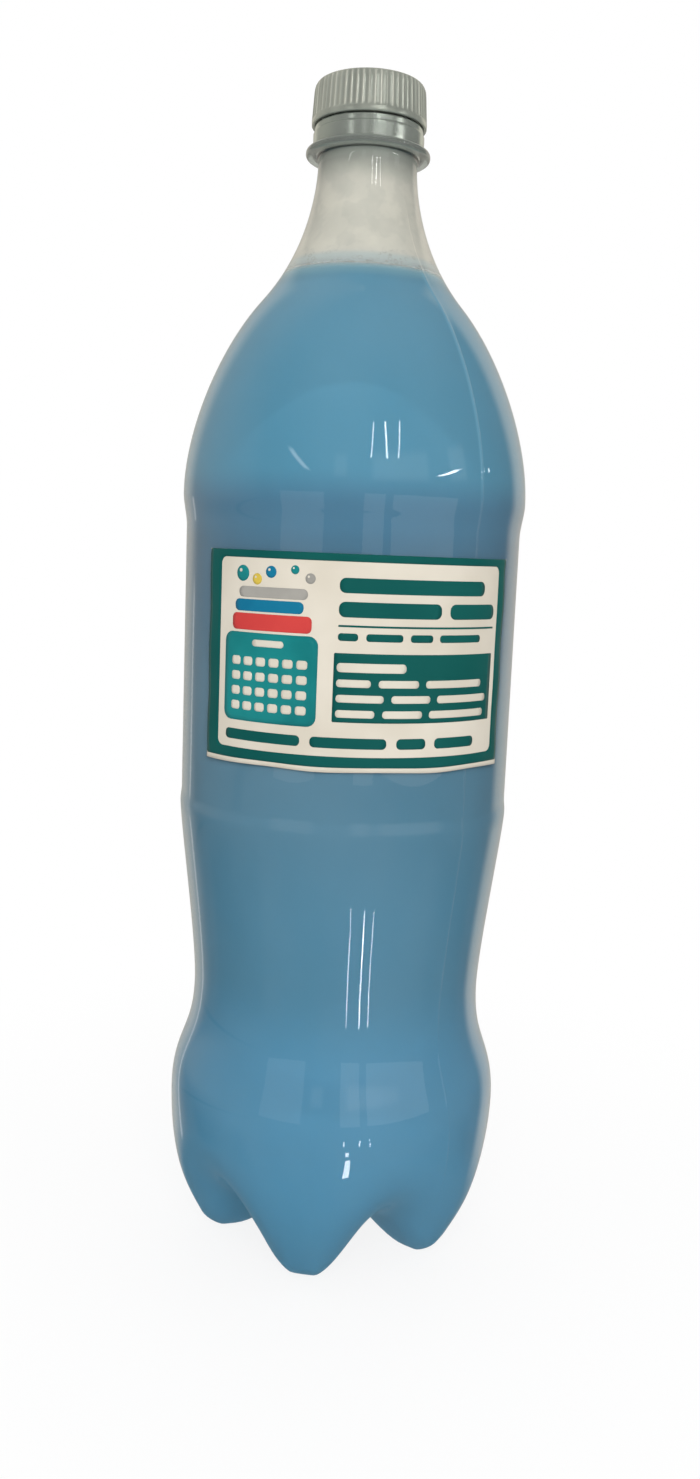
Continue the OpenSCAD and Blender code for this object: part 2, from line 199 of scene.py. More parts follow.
class MeshMaker:
    """Collects grids of points and makes one mesh object of them."""

    def __init__(self) -> None:
        """Starts with nothing in it."""
        self.points: list[np.ndarray] = []
        self.quads: list[np.ndarray] = []
        self.triangles: list[np.ndarray] = []
        self.values: dict[str, list[np.ndarray]] = {}
        self.total = 0

    def add(self, grid: np.ndarray, around: bool = True, loop: bool = False,
            poles: tuple = (), **values: np.ndarray) -> None:
        """Adds a surface given on a grid of rows and columns.

        A face joins (i, j), (i, j + 1), (i + 1, j + 1) and (i + 1, j), so that it faces
        outwards where the rows rise and the columns turn from +X to +Y.

        Args:
            grid: Points, as rows by columns by 3, in millimetres.
            around: Whether the last column joins the first.
            loop: Whether the last row joins the first.
            poles: Points that close the first and the last row, or None for a row left open.
            values: Named numbers for each point of the grid.
        """
        rows, columns = grid.shape[:2]
        index = self.total + np.arange(rows * columns).reshape(rows, columns)
        if around:
            index = np.concatenate([index, index[:, :1]], 1)
        if loop:
            index = np.concatenate([index, index[:1]], 0)
        quads = np.stack([index[:-1, :-1], index[:-1, 1:], index[1:, 1:], index[1:, :-1]], -1)
        self.quads.append(quads.reshape(-1, 4))
        self.points.append(grid.reshape(-1, 3))
        for name, value in values.items():
            spread = np.broadcast_to(value, (rows, columns)).ravel()
            self.values.setdefault(name, []).append(spread)
        self.total += rows * columns
        for number, pole in enumerate(poles):
            if pole is None:
                continue
            ring = index[0, ::-1] if number == 0 else index[-1]
            middle = np.full(len(ring) - 1, self.total)
            self.triangles.append(np.stack([middle, ring[:-1], ring[1:]], -1))
            self.points.append(np.asarray(pole, float).reshape(1, 3))
            for name, value in values.items():
                row = np.broadcast_to(value, (rows, columns))[0 if number == 0 else -1]
                self.values[name].append(row[:1])
            self.total += 1

    def make(self, name: str) -> Object:
        """Makes the mesh object, in metres, and links it to the scene.

        Args:
            name: Name of the object and its mesh.

        Returns:
            The new object.
        """
        quads = np.concatenate(self.quads)
        triangles = np.concatenate(self.triangles) if self.triangles else np.empty((0, 3), int)
        mesh = bpy.data.meshes.new(name)
        mesh.from_pydata(np.concatenate(self.points) * MM, [], quads.tolist() + triangles.tolist())
        mesh.polygons.foreach_set("use_smooth", np.ones(len(mesh.polygons), bool))
        for label, parts in self.values.items():
            layer = mesh.attributes.new(label, "FLOAT", "POINT")
            layer.data.foreach_set("value", np.concatenate(parts).astype(np.float32))
        mesh.validate()
        mesh.update()
        piece = bpy.data.objects.new(name, mesh)
        bpy.context.scene.collection.objects.link(piece)
        return piece


def dress_above(piece: Object, material: Material, height: float) -> None:
    """Gives the faces of a dressed piece above a height another material."""
    piece.data.materials.append(material)
    middles = np.empty(3 * len(piece.data.polygons))
    piece.data.polygons.foreach_get("center", middles)
    piece.data.polygons.foreach_set("material_index", (middles[2::3] > height * MM).astype(np.int32))


def place(piece: Object, body: Body, slot: Slot, material: Material,
          node: str = "") -> None:
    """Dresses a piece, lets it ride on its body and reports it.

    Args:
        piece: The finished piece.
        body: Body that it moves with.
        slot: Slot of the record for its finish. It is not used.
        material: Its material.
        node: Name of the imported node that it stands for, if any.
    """
    piece.data.materials.append(material)
    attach(piece, body.value)
    if node:
        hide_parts(node)
    points = np.empty(3 * len(piece.data.vertices))
    piece.data.vertices.foreach_get("co", points)
    points = points.reshape(-1, 3) / MM
    LOG.info("%s on %s: %d faces, from %s to %s mm", piece.name, body.value,
             len(piece.data.polygons), np.round(points.min(0), 1), np.round(points.max(0), 1))


# Materials


class Board:
    """Adds nodes to a tree and joins them."""

    def __init__(self, tree: NodeTree) -> None:
        """Keeps the tree that the nodes go into."""
        self.tree = tree

    def add(self, kind: str, setup: dict | None = None, inputs: dict | None = None) -> Node:
        """Adds a node.

        Args:
            kind: Type of the node.
            setup: Its settings.
            inputs: A value, or an output to join, for each named or numbered input.

        Returns:
            The new node.
        """
        node = self.tree.nodes.new(kind)
        for name, value in (setup or {}).items():
            setattr(node, name, value)
        self.feed(node, inputs or {})
        return node

    def feed(self, node: Node, inputs: dict) -> None:
        """Sets a value, or joins an output, at each named or numbered input of a node."""
        for name, value in inputs.items():
            socket = node.inputs[name]
            if isinstance(value, NodeSocket):
                self.tree.links.new(value, socket)
            else:
                socket.default_value = value

    def group(self, effect: NodeTree, inputs: dict) -> Node:
        """Adds a shared effect with its inputs."""
        return self.add("ShaderNodeGroup", {"node_tree": effect}, inputs)

    def surface(self, shader: Node) -> None:
        """Makes a shader node the surface of the material."""
        self.feed(self.tree.nodes["Material Output"], {"Surface": shader.outputs[0]})

    def math(self, operation: str, *values: object, clamp: bool = False) -> NodeSocket:
        """Adds a Math node and returns its value."""
        setup = {"operation": operation, "use_clamp": clamp}
        return self.add("ShaderNodeMath", setup, dict(enumerate(values))).outputs[0]

    def mix(self, share: object, low: object, high: object) -> NodeSocket:
        """Adds a Mix node for colours and returns its colour."""
        node = self.add("ShaderNodeMix", {"data_type": "RGBA"}, {0: share, 6: low, 7: high})
        return node.outputs[2]

    def spread(self, value: object, low: object, high: object, start: float = 0,
               end: float = 1) -> NodeSocket:
        """Adds a Map Range node from low..high to start..end and returns its value."""
        inputs = {0: value, 1: low, 2: high, 3: start, 4: end}
        return self.add("ShaderNodeMapRange", {"interpolation_type": "SMOOTHSTEP"}, inputs).outputs[0]

    def place(self, stretch: Stretch = (1, 1, 1)) -> NodeSocket:
        """Returns the place on the object in metres, stretched along each axis."""
        spot = self.add("ShaderNodeTexCoord").outputs["Object"]
        return self.add("ShaderNodeMapping", None, {0: spot, "Scale": stretch}).outputs[0]


def rgba(colour: Colour) -> tuple[float, float, float, float]:
    """Adds full opacity to a colour."""
    return (*colour, 1.0)


def blank_material(name: str) -> tuple[Material, Board, Node]:
    """Makes a material.

    Args:
        name: Its name.

    Returns:
        The material, a board for its nodes, and its Principled shader.
    """
    material = bpy.data.materials.new(name)
    material.use_nodes = True
    tree = material.node_tree
    return material, Board(tree), tree.nodes["Principled BSDF"]


class Groups:
    """Effects that several materials share, each a node group that is built once."""

    def __init__(self) -> None:
        """Builds the groups."""
        self.mottle = self._mottle()
        self.relief = self._relief()
        self.rise = self._rise()
        self.glow = self._glow()

    @staticmethod
    def _new(name: str, inputs: dict, outputs: dict) -> tuple:
        """Makes an empty group with named sockets.

        Args:
            name: Name of the group.
            inputs: Type and default of each input, by name.
            outputs: Type of each output, by name.

        Returns:
            The group, a board for its nodes, its input node and its output node.
        """
        tree = bpy.data.node_groups.new(name, "ShaderNodeTree")
        for label, (kind, default) in inputs.items():
            socket = tree.interface.new_socket(label, in_out="INPUT", socket_type=kind)
            if default is not None:
                socket.default_value = default
        for label, kind in outputs.items():
            tree.interface.new_socket(label, in_out="OUTPUT", socket_type=kind)
        return tree, Board(tree), tree.nodes.new("NodeGroupInput"), tree.nodes.new("NodeGroupOutput")

    def _mottle(self) -> NodeTree:
        """Cloudy change between two colours, with a mask of the same clouds."""
        tree, board, given, out = self._new(
            "Mottle",
            {"Vector": ("NodeSocketVector", None), "Scale": ("NodeSocketFloat", 40.0),
             "Edge": ("NodeSocketFloat", 0.2), "Low": ("NodeSocketColor", (0, 0, 0, 1)),
             "High": ("NodeSocketColor", (1, 1, 1, 1))},
            {"Color": "NodeSocketColor", "Mask": "NodeSocketFloat"})
        noise = board.add("ShaderNodeTexNoise", None, {
            "Vector": given.outputs["Vector"], "Scale": given.outputs["Scale"], "Detail": 3.0})
        low = board.math("SUBTRACT", 0.5, given.outputs["Edge"])
        high = board.math("ADD", 0.5, given.outputs["Edge"])
        mask = board.spread(noise.outputs[0], low, high)
        colour = board.mix(mask, given.outputs["Low"], given.outputs["High"])
        board.feed(out, {"Color": colour, "Mask": mask})
        return tree

    def _relief(self) -> NodeTree:
        """Height of a slow wave with fine grain on it, for a Bump node."""
        tree, board, given, out = self._new(
            "Relief",
            {"Vector": ("NodeSocketVector", None), "Wave": ("NodeSocketFloat", 30.0),
             "Grain": ("NodeSocketFloat", 900.0), "Grain share": ("NodeSocketFloat", 0.1)},
            {"Height": "NodeSocketFloat"})
        vector = given.outputs["Vector"]
        wave, grain = (board.add("ShaderNodeTexNoise", None, {
            "Vector": vector, "Scale": given.outputs[name], "Detail": detail})
            for name, detail in (("Wave", 1.0), ("Grain", 2.0)))
        fine = board.math("MULTIPLY", grain.outputs[0], given.outputs["Grain share"])
        board.feed(out, {"Height": board.math("ADD", wave.outputs[0], fine)})
        return tree

    def _rise(self) -> NodeTree:
        """Mask that rises from 0 to 1 between two heights of the object, in metres."""
        tree, board, given, out = self._new(
            "Rise",
            {"Vector": ("NodeSocketVector", None), "Low": ("NodeSocketFloat", 0.0),
             "High": ("NodeSocketFloat", 1.0)},
            {"Mask": "NodeSocketFloat"})
        split = board.add("ShaderNodeSeparateXYZ", None, {0: given.outputs["Vector"]})
        mask = board.spread(split.outputs["Z"], given.outputs["Low"], given.outputs["High"])
        board.feed(out, {"Mask": mask})
        return tree

    def _glow(self) -> NodeTree:
        """Light of a soft-edged patch of the room at an azimuth and an elevation."""
        names = ("Azimuth", "Elevation", "Middle azimuth", "Middle elevation", "Half width",
                 "Half height", "Soft", "Fade", "Lean", "Brightness")
        tree, board, given, out = self._new(
            "Glow", {name: ("NodeSocketFloat", 1.0) for name in names}, {"Light": "NodeSocketFloat"})
        up = board.math("SUBTRACT", given.outputs["Elevation"], given.outputs["Middle elevation"])
        across = board.math("SUBTRACT", given.outputs["Azimuth"], given.outputs["Middle azimuth"])
        across = board.math("SUBTRACT", across, board.math("MULTIPLY", up, given.outputs["Lean"]))
        light = given.outputs["Brightness"]
        edges = ((board.math("ABSOLUTE", across), "Half width", "Soft"), (up, "Half height", "Fade"),
                 (board.math("MULTIPLY", up, -1.0), "Half height", "Soft"))
        for off, half, soft in edges:
            near = board.math("SUBTRACT", given.outputs[half], given.outputs[soft])
            far = board.math("ADD", given.outputs[half], given.outputs[soft])
            light = board.math("MULTIPLY", light, board.spread(off, near, far, 1, 0))
        board.feed(out, {"Light": light})
        return tree

    def above(self, board: Board, low: float, high: float) -> NodeSocket:
        """Adds the mask that rises from 0 to 1 between two heights of the object."""
        inputs = {"Vector": board.place(), "Low": low, "High": high}
        return board.group(self.rise, inputs).outputs["Mask"]

    def normal(self, board: Board, distance: float, inputs: dict) -> NodeSocket:
        """Adds the relief with its inputs, as high as a distance, and returns its normal."""
        height = board.group(self.relief, inputs).outputs["Height"]
        bumps = {"Strength": 1.0, "Distance": distance, "Height": height}
        return board.add("ShaderNodeBump", None, bumps).outputs[0]


@dataclass(frozen=True)
class Finish:
    """Finish of an opaque surface: two colours in clouds, gloss and relief."""

    name: str
    low: Colour
    high: Colour
    cloud: float = 60.0
    stretch: Stretch = (1, 1, 1)
    edge: float = 0.25
    rough: tuple[float, float] = (0.35, 0.45)
    specular: float = 0.5
    metallic: float = 0.0
    wave: float = 40.0
    grain: float = 1500.0
    grain_share: float = 0.2
    relief: float = 0.0001
    # A marked attribute can paint a highlight in a pale colour, mixed in at a share; the cap paints one
    # on its flutes' crests.
    highlight_attribute: str = ""
    highlight_colour: Colour = (1, 1, 1)
    highlight_share: float = 0.5

    def build(self, groups: Groups) -> Material:
        """Builds the material.

        Args:
            groups: The shared effects.

        Returns:
            A Principled material whose colour, roughness and normal change over the surface.
        """
        material, board, shader = blank_material(self.name)
        mottle = board.group(groups.mottle, {
            "Vector": board.place(self.stretch), "Scale": self.cloud, "Edge": self.edge,
            "Low": rgba(self.low), "High": rgba(self.high)})
        colour = mottle.outputs["Color"]
        # Painted highlight along the marked attribute.
        if self.highlight_attribute:
            mark = board.add("ShaderNodeAttribute", {"attribute_name": self.highlight_attribute}).outputs["Fac"]
            share = board.math("MULTIPLY", mark, self.highlight_share)
            colour = board.mix(share, colour, rgba(self.highlight_colour))
        normal = groups.normal(board, self.relief, {
            "Vector": board.place(), "Wave": self.wave, "Grain": self.grain,
            "Grain share": self.grain_share})
        board.feed(shader, {
            "Base Color": colour, "Normal": normal,
            "Roughness": board.spread(mottle.outputs["Mask"], 0, 1, *self.rough),
            "Metallic": self.metallic, "Specular IOR Level": self.specular})
        return material


@dataclass(frozen=True)
class ClearPlastic:
    """Clear blown plastic: faintly tinted, a little wavy, and open to the lamps' light.

    The ridge is scuffed, where bottles rub in their crate: scuff_at gives its heights.
    """

    name: str
    tint: Colour = linear(250, 252, 252)
    transmission: float = 1.0
    ior: float = 1.57
    rough: tuple[float, float] = (0.008, 0.022)
    cloud: float = 55.0
    cloud_stretch: Stretch = (1, 1, 0.4)
    edge: float = 0.15
    wave: float = 38.0
    wave_stretch: Stretch = (1, 1, 0.25)
    grain: float = 160.0
    grain_share: float = 0.01
    relief: float = 0.00007
    scuff: float = 0.16
    scuff_at: tuple[float, float] = (0.1255, 0.1315)
    scuff_edge: float = 0.0012

    def build(self, groups: Groups) -> Material:
        """Builds the glassy material, mixed with a see-through shader for shadow rays.

        Args:
            groups: The shared effects.

        Returns:
            The material.
        """
        material, board, shader = blank_material(self.name)
        mottle = board.group(groups.mottle, {
            "Vector": board.place(self.cloud_stretch), "Scale": self.cloud, "Edge": self.edge})
        foot, head = (groups.above(board, z - self.scuff_edge, z + self.scuff_edge)
                      for z in self.scuff_at)
        scuff = board.math("MULTIPLY", board.math("SUBTRACT", foot, head), self.scuff)
        rough = board.spread(mottle.outputs["Mask"], 0, 1, *self.rough)
        normal = groups.normal(board, self.relief, {
            "Vector": board.place(self.wave_stretch), "Wave": self.wave, "Grain": self.grain,
            "Grain share": self.grain_share})
        board.feed(shader, {
            "Base Color": rgba(self.tint), "Roughness": board.math("ADD", rough, scuff),
            "Normal": normal, "Transmission Weight": self.transmission, "IOR": self.ior})
        clear = board.add("ShaderNodeBsdfTransparent")
        shadow = board.add("ShaderNodeLightPath").outputs["Is Shadow Ray"]
        board.surface(board.add("ShaderNodeMixShader", None, {
            0: shadow, 1: shader.outputs[0], 2: clear.outputs[0]}))
        return material


@dataclass(frozen=True)
class Liquid:
    """Opaque liquid whose colour changes gently with height.

    zones gives the two heights, in metres, between which each further colour sets in.
    The colours by height are painted light and shade: painted light brightens the foot and
    the shoulder, and painted shade darkens the middle, most of all beside the label. The
    last, paler colour lies just under the surface.
    """

    name: str = "laundry_liquid"
    # foot, the colour at the bottom, is made lighter with painted light from the floor below.
    foot: Colour = (0.104, 0.316, 0.472)
    shading_zones: tuple = (
        (0.060, 0.088, (0.104, 0.278, 0.395)),
        (0.100, 0.145, (0.100, 0.243, 0.338)),
        (0.150, 0.195, (0.076, 0.193, 0.290)),
        (0.199, 0.206, (0.080, 0.218, 0.330)),
        (0.209, 0.219, (0.099, 0.301, 0.423)),
        (0.2668, 0.2706, (0.22, 0.42, 0.50)))
    cloud: float = 26.0
    cloud_stretch: Stretch = (1, 1, 0.5)
    edge: float = 0.3
    pale: Colour = (0.75, 0.8, 0.82)
    pale_share: float = 0.05
    rough: tuple[float, float] = (0.4, 0.5)
    # The liquid carries a painted highlight along the mould's seams on the shoulder, in a pale colour
    # at a share.
    seam_highlight_share: float = 0.4
    seam_highlight_colour: Colour = (0.26, 0.52, 0.66)

    def build(self, groups: Groups) -> Material:
        """Builds the material.

        Args:
            groups: The shared effects.

        Returns:
            A matt material with slow clouds in its colour, painted light and shade by height, and
            a painted highlight along the mould's seams on the shoulder. The gloss is the plastic's.
        """
        material, board, shader = blank_material(self.name)
        colour = rgba(self.foot)
        # Painted light and shade: the colour changes zone by zone with height.
        for low, high, next_colour in self.shading_zones:
            colour = board.mix(groups.above(board, low, high), colour, rgba(next_colour))
        mask = board.group(groups.mottle, {
            "Vector": board.place(self.cloud_stretch), "Scale": self.cloud,
            "Edge": self.edge}).outputs["Mask"]
        colour = board.mix(board.math("MULTIPLY", mask, self.pale_share), colour, rgba(self.pale))
        # The seam value masks the painted highlight along the mould's seams.
        seam = board.add("ShaderNodeAttribute", {"attribute_name": "seam"}).outputs["Fac"]
        seam = board.math("MULTIPLY", seam, self.seam_highlight_share)
        board.feed(shader, {
            "Base Color": board.mix(seam, colour, rgba(self.seam_highlight_colour)),
            "Roughness": board.spread(mask, 0, 1, *self.rough),
            "Specular IOR Level": 0.0})
        return material


@dataclass(frozen=True)
class Mist:
    """Film of dried foam and mist on the headspace's wall, thinner in patches.

    It fades into the liquid below, where rings of small bubbles stand. Under the support ring
    it darkens with painted shade, for the shadow of the ring and the cap on the neck, and grows
    nearly opaque. Heights are in metres. bubble_ring gives a ring's radius in its cell
    and how far from it the ring starts and ends to fade, and bubble_fade the heights over
    the film's edge between which the rings die out.
    """

    name: str = "headspace_mist"
    low: Colour = linear(219, 217, 206)
    high: Colour = linear(224, 221, 209)
    # top is the colour of the painted shade under the support ring, where the ring and the cap shadow
    # the neck.
    top: Colour = linear(146, 152, 144)
    foot: Colour = linear(196, 205, 203)
    smudge: Colour = linear(176, 178, 172)
    # The painted shade under the support ring sets in between these two heights.
    shade_from: float = 0.292
    shade_to: float = 0.3018
    foot_to: float = 0.2745
    fade: tuple[float, float] = (0.2692, 0.2728)
    alpha: tuple[float, float] = (0.7, 0.78)
    # Opacity of the film within the painted shade under the support ring comes last.
    shade_alpha: float = 0.93
    cloud: float = 110.0
    edge: float = 0.3
    spot: float = 190.0
    spot_edge: float = 0.06
    spot_share: float = 0.2
    bubbles: float = 620.0
    bubble_ring: tuple[float, float, float] = (0.33, 0.03, 0.1)
    bubble_share: float = 0.8
    bubble_fade: tuple[float, float] = (0.0006, 0.0035)
    rough: float = 0.6
    specular: float = 0.2

    def build(self, groups: Groups) -> Material:
        """Builds the material.

        Args:
            groups: The shared effects.

        Returns:
            A soft material whose opacity follows its clouds.
        """
        material, board, shader = blank_material(self.name)
        place = board.place()
        mottle = board.group(groups.mottle, {
            "Vector": place, "Scale": self.cloud, "Edge": self.edge,
            "Low": rgba(self.low), "High": rgba(self.high)})
        spots = board.group(groups.mottle, {
            "Vector": place, "Scale": self.spot, "Edge": self.spot_edge}).outputs["Mask"]
        cells = board.add("ShaderNodeTexVoronoi", None, {"Vector": place, "Scale": self.bubbles})
        radius, start, end = self.bubble_ring
        ring = board.math("ABSOLUTE", board.math("SUBTRACT", cells.outputs["Distance"], radius))
        ring = board.spread(ring, start, end, self.bubble_share, 0)
        edge = self.fade[1]
        dry = groups.above(board, *(edge + height for height in self.bubble_fade))
        bubble = board.math("MULTIPLY", ring, board.math("SUBTRACT", 1.0, dry))
        bubble = board.math("MULTIPLY", bubble, spots)
        smudge = board.math("MULTIPLY", spots, self.spot_share)
        # neck masks the painted shade under the support ring: there the film takes the colour top and
        # grows nearly opaque.
        neck = groups.above(board, self.shade_from, self.shade_to)
        colour = board.mix(smudge, mottle.outputs["Color"], rgba(self.smudge))
        colour = board.mix(neck, colour, rgba(self.top))
        colour = board.mix(groups.above(board, edge, self.foot_to), rgba(self.foot), colour)
        opacity = board.spread(mottle.outputs["Mask"], 0, 1, *self.alpha)
        opacity = board.math("MULTIPLY", opacity, groups.above(board, *self.fade))
        opacity = board.math("MAXIMUM", opacity, board.math("MULTIPLY", neck, self.shade_alpha))
        board.feed(shader, {
            "Base Color": board.mix(bubble, colour, rgba(self.smudge)), "Alpha": opacity,
            "Roughness": self.rough, "Specular IOR Level": self.specular})
        return material


# Bottle


@dataclass
class BottleShape:
    """Sizes of the blown bottle, and the lines and surfaces that follow from them.

    A pair named for a place on the body is its radius and height. A pull is how far a curve
    runs straight on from its end, and a slope is in degrees from level.
    """

    bulge_h: float = 42.8
    bulge_r: float = 47.1
    foot_count: int = 5
    foot_turn: float = -14.2
    foot_full: float = 1.04
    foot_power: float = 1.15
    valley_drop: float = 18.9
    valley_pull: float = 30.5
    toe: tuple = (37.8, 4.8)
    toe_slope: float = 62.0
    toe_pulls: tuple = (20.6, 10.3)
    pad_out_r: float = 31.2
    pad_pulls: tuple = (2.8, 1.5)
    pad_in_r: float = 28.0
    push_up: float = 11.5
    arch_pull: float = 9.0
    waist: tuple = (41.0, 75.8)
    ridge: tuple = (46.1, 128.0)
    panel_foot: tuple = (45.8, 131.5)
    panel_top: tuple = (45.8, 204.0)
    shoulder: tuple = (46.8, 212.5)
    knee: tuple = (27.2, 263.4)
    knee_slope: float = 49.0
    neck: tuple = (13.1, 300.5)
    neck_steps: int = 26
    neck_pull: float = 9.0
    knee_pull: float = 17.0
    shoulder_pull: float = 16.0
    step_pull: float = 2.5
    ridge_pull: float = 1.3
    waist_pulls: tuple = (6.2, 12.0)
    bulge_pulls: tuple = (17.7, 14.6)
    wall: float = 0.5
    mouth_r: float = 10.87
    ring_r: float = 16.5
    ring_foot: float = 301.1
    ring_top: float = 303.0
    finish_r: float = 12.47
    groove_r: float = 12.9
    bead_r: float = 13.7
    bead_foot: float = 305.6
    bead_h: float = 1.5
    lip: float = 318.1
    wall_step: float = 0.27
    pitch: float = 2.7
    thread_turns: float = 1.8
    thread_rise: float = 1.23
    thread_drop: float = 1.7
    thread_w: tuple = (0.95, 0.45)
    thread_fade: float = 0.15
    columns: int = 232
    seam_at: float = -51.5
    seam_steps: tuple = (-1.2, -0.7, -0.45, -0.28, -0.13, 0.0, 0.13, 0.28, 0.45, 0.7, 1.2)
    seam_clear: float = 1.9
    seam_h: float = 0.14
    seam_w: float = 0.28
    seam_from: tuple = (3, 12)
    seam_to: tuple = (285, 298)

    def angles(self) -> np.ndarray:
        """Column angles in radians: even all round, and closer at the two seams of the mould."""
        even = np.arange(self.columns) * 360 / self.columns
        seams = np.array([self.seam_at + half for half in (0, 180)]) % 360
        near = np.abs((even[:, None] - seams + 180) % 360 - 180).min(1) < self.seam_clear
        extra = (seams[:, None] + np.array(self.seam_steps)).ravel() % 360
        return np.radians(np.sort(np.concatenate([even[~near], extra])))

    def seam_mark(self, angles: np.ndarray, reach: np.ndarray, width: float) -> np.ndarray:
        """Bells of height 1 along the mould's two seams, for places at a reach from the axis."""
        gaps = (angle_gap(angles, math.radians(self.seam_at + half)) for half in (0, 180))
        return sum(bump(gap * reach, width) for gap in gaps)

    def body_line(self) -> np.ndarray:
        """Outside of the body from the neck down to the bulge, as rows of radius and height."""
        down = np.array([0.0, -1.0])
        neck, knee, shoulder, top, foot, ridge, waist = (np.array(p) for p in (
            self.neck, self.knee, self.shoulder, self.panel_top, self.panel_foot, self.ridge,
            self.waist))
        bulge = np.array([self.bulge_r, self.bulge_h])
        slope = math.radians(self.knee_slope)
        way = self.knee_pull * np.array([math.cos(slope), -math.sin(slope)])
        step, rib = self.step_pull * down, self.ridge_pull * down
        return joined(
            cubic(neck, neck + self.neck_pull * down, knee - way, knee, self.neck_steps),
            cubic(knee, knee + way, shoulder - self.shoulder_pull * down, shoulder, 28),
            cubic(shoulder, shoulder + step, top - step, top, 10),
            np.linspace(top, foot, 9),
            cubic(foot, foot + rib, ridge - rib, ridge, 7),
            cubic(ridge, ridge + self.waist_pulls[0] * down, waist - self.waist_pulls[1] * down,
                  waist, 22),
            cubic(waist, waist + self.bulge_pulls[0] * down, bulge - self.bulge_pulls[1] * down,
                  bulge, 18))

    def body_walls(self, line: np.ndarray) -> np.ndarray:
        """Wall at each point of the body: it thins from the neck down to the knee."""
        share = np.clip(np.arange(len(line)) / self.neck_steps, 0, 1)
        neck_wall = self.neck[0] - self.mouth_r
        return neck_wall + (self.wall - neck_wall) * share

    def inner_line(self, gap: float = 0.0) -> np.ndarray:
        """Inside of the body from the neck down to the bulge, moved in by a further gap."""
        line = self.body_line()
        return inset(line, self.body_walls(line) + gap)

    def foot_line(self) -> np.ndarray:
        """Line down the middle of a foot: side, toe, pad and arch."""
        rim = np.array([self.bulge_r, self.bulge_h])
        toe = np.array(self.toe)
        slope = math.radians(self.toe_slope)
        way = np.array([math.cos(slope), math.sin(slope)])
        pad = np.array([self.pad_out_r, 0.0])
        return np.concatenate([
            cubic(rim, rim - (0, self.toe_pulls[0]), toe + self.toe_pulls[1] * way, toe, 20),
            cubic(toe, toe - self.pad_pulls[0] * way, pad + (self.pad_pulls[1], 0), pad, 7)[1:],
            cubic((self.pad_in_r, 0), (self.pad_in_r - self.arch_pull, 0),
                  (self.arch_pull, self.push_up), (0, self.push_up), 14)])

    def base(self, depth: float, angles: np.ndarray) -> np.ndarray:
        """Base with its feet, at a depth inside its outer face.

        A point is v + (f - v) s: f on the foot's line, v on the valley's line at the same
        share of its length, and s = min(1, full (1 - ((1 - cos 5a) / 2)^power)) for a turn a
        from the foot's middle.

        Args:
            depth: Depth inside the outer face.
            angles: Column angles in radians.

        Returns:
            Grid of points from the bulge in to the ring next to the middle.
        """
        foot = self.foot_line()
        t = shares(foot)[:, None]
        u = 1 - t
        rim = self.bulge_r
        valley = (u**3 * (rim, self.bulge_h) + 3 * u * u * t * (rim, self.bulge_h - self.valley_drop)
                  + 3 * u * t * t * (self.valley_pull, self.push_up) + t**3 * (0.0, self.push_up))
        foot, valley = (inset(line, depth, (-1, 0)) for line in (foot, valley))
        turn = angles + math.pi / 2 - math.radians(self.foot_turn)
        dip = ((1 - np.cos(self.foot_count * turn)) / 2) ** self.foot_power
        share = np.minimum(1, self.foot_full * (1 - dip))
        line = valley[:-1, None] + (foot - valley)[:-1, None] * share[None, :, None]
        return polar(line[..., 0], angles, line[..., 1])

    def finish_line(self) -> np.ndarray:
        """Outside of the neck finish from the neck up over the ring and the bead to the lip."""
        neck_r, neck_z = self.neck
        foot, top, bead = self.ring_foot, self.ring_top, self.bead_foot
        mid = (foot + top) / 2
        end = bead + self.bead_h
        wall = [(self.finish_r, z) for z in np.arange(end + 0.45, self.lip - 0.55, self.wall_step)]
        lip = cubic((self.finish_r, self.lip - 0.5), (self.finish_r, self.lip - 0.15),
                    (self.finish_r - 0.15, self.lip), (self.finish_r - 0.5, self.lip), 4)
        return np.concatenate([
            cubic((neck_r, neck_z), (neck_r, neck_z + 0.45),
                  (neck_r + 0.3, foot), (neck_r + 1.0, foot), 4)[1:],
            [(self.ring_r - 1.2, foot + 0.05)],
            cubic((self.ring_r - 0.7, foot + 0.07), (self.ring_r - 0.1, foot + 0.1),
                  (self.ring_r, mid - 0.45), (self.ring_r, mid), 5),
            cubic((self.ring_r, mid), (self.ring_r, mid + 0.45),
                  (self.ring_r - 0.1, top - 0.12), (self.ring_r - 0.7, top - 0.04), 5)[1:],
            [(self.groove_r + 0.4, top), (self.groove_r + 0.05, top + 0.05), (self.groove_r, top + 0.4),
             (self.groove_r, bead - 0.3), (self.groove_r + 0.08, bead - 0.04)],
            [(self.bead_r - 0.15, bead), (self.bead_r, bead + 0.12), (self.bead_r, bead + 0.6)],
            cubic((self.bead_r, bead + 0.75), (self.bead_r - 0.1, bead + 1.0),
                  (self.finish_r + 0.2, end), (self.finish_r, end + 0.2), 5),
            wall, lip])

    def thread(self, z: np.ndarray, angles: np.ndarray) -> np.ndarray:
        """Height of the thread over the neck's wall.

        The ridge follows z = z0 + pitch a / 2pi. Its height is full within the crest's half
        width and falls to none at the root's, and it fades at both ends.

        Args:
            z: Heights, as a column.
            angles: Angles, as a row.

        Returns:
            Height of the ridge at each place.
        """
        foot = self.lip - self.thread_drop - self.thread_turns * self.pitch
        height = np.zeros(np.broadcast(z, angles).shape)
        for turn in range(math.ceil(self.thread_turns)):
            run = angles / (2 * math.pi) + turn
            off = np.abs(z - foot - self.pitch * run)
            ridge = 1 - ease(off, self.thread_w[1], self.thread_w[0])
            start = ease(run, 0, self.thread_fade)
            end = 1 - ease(run, self.thread_turns - self.thread_fade, self.thread_turns)
            height = np.maximum(height, ridge * (start * end))
        return self.thread_rise * height

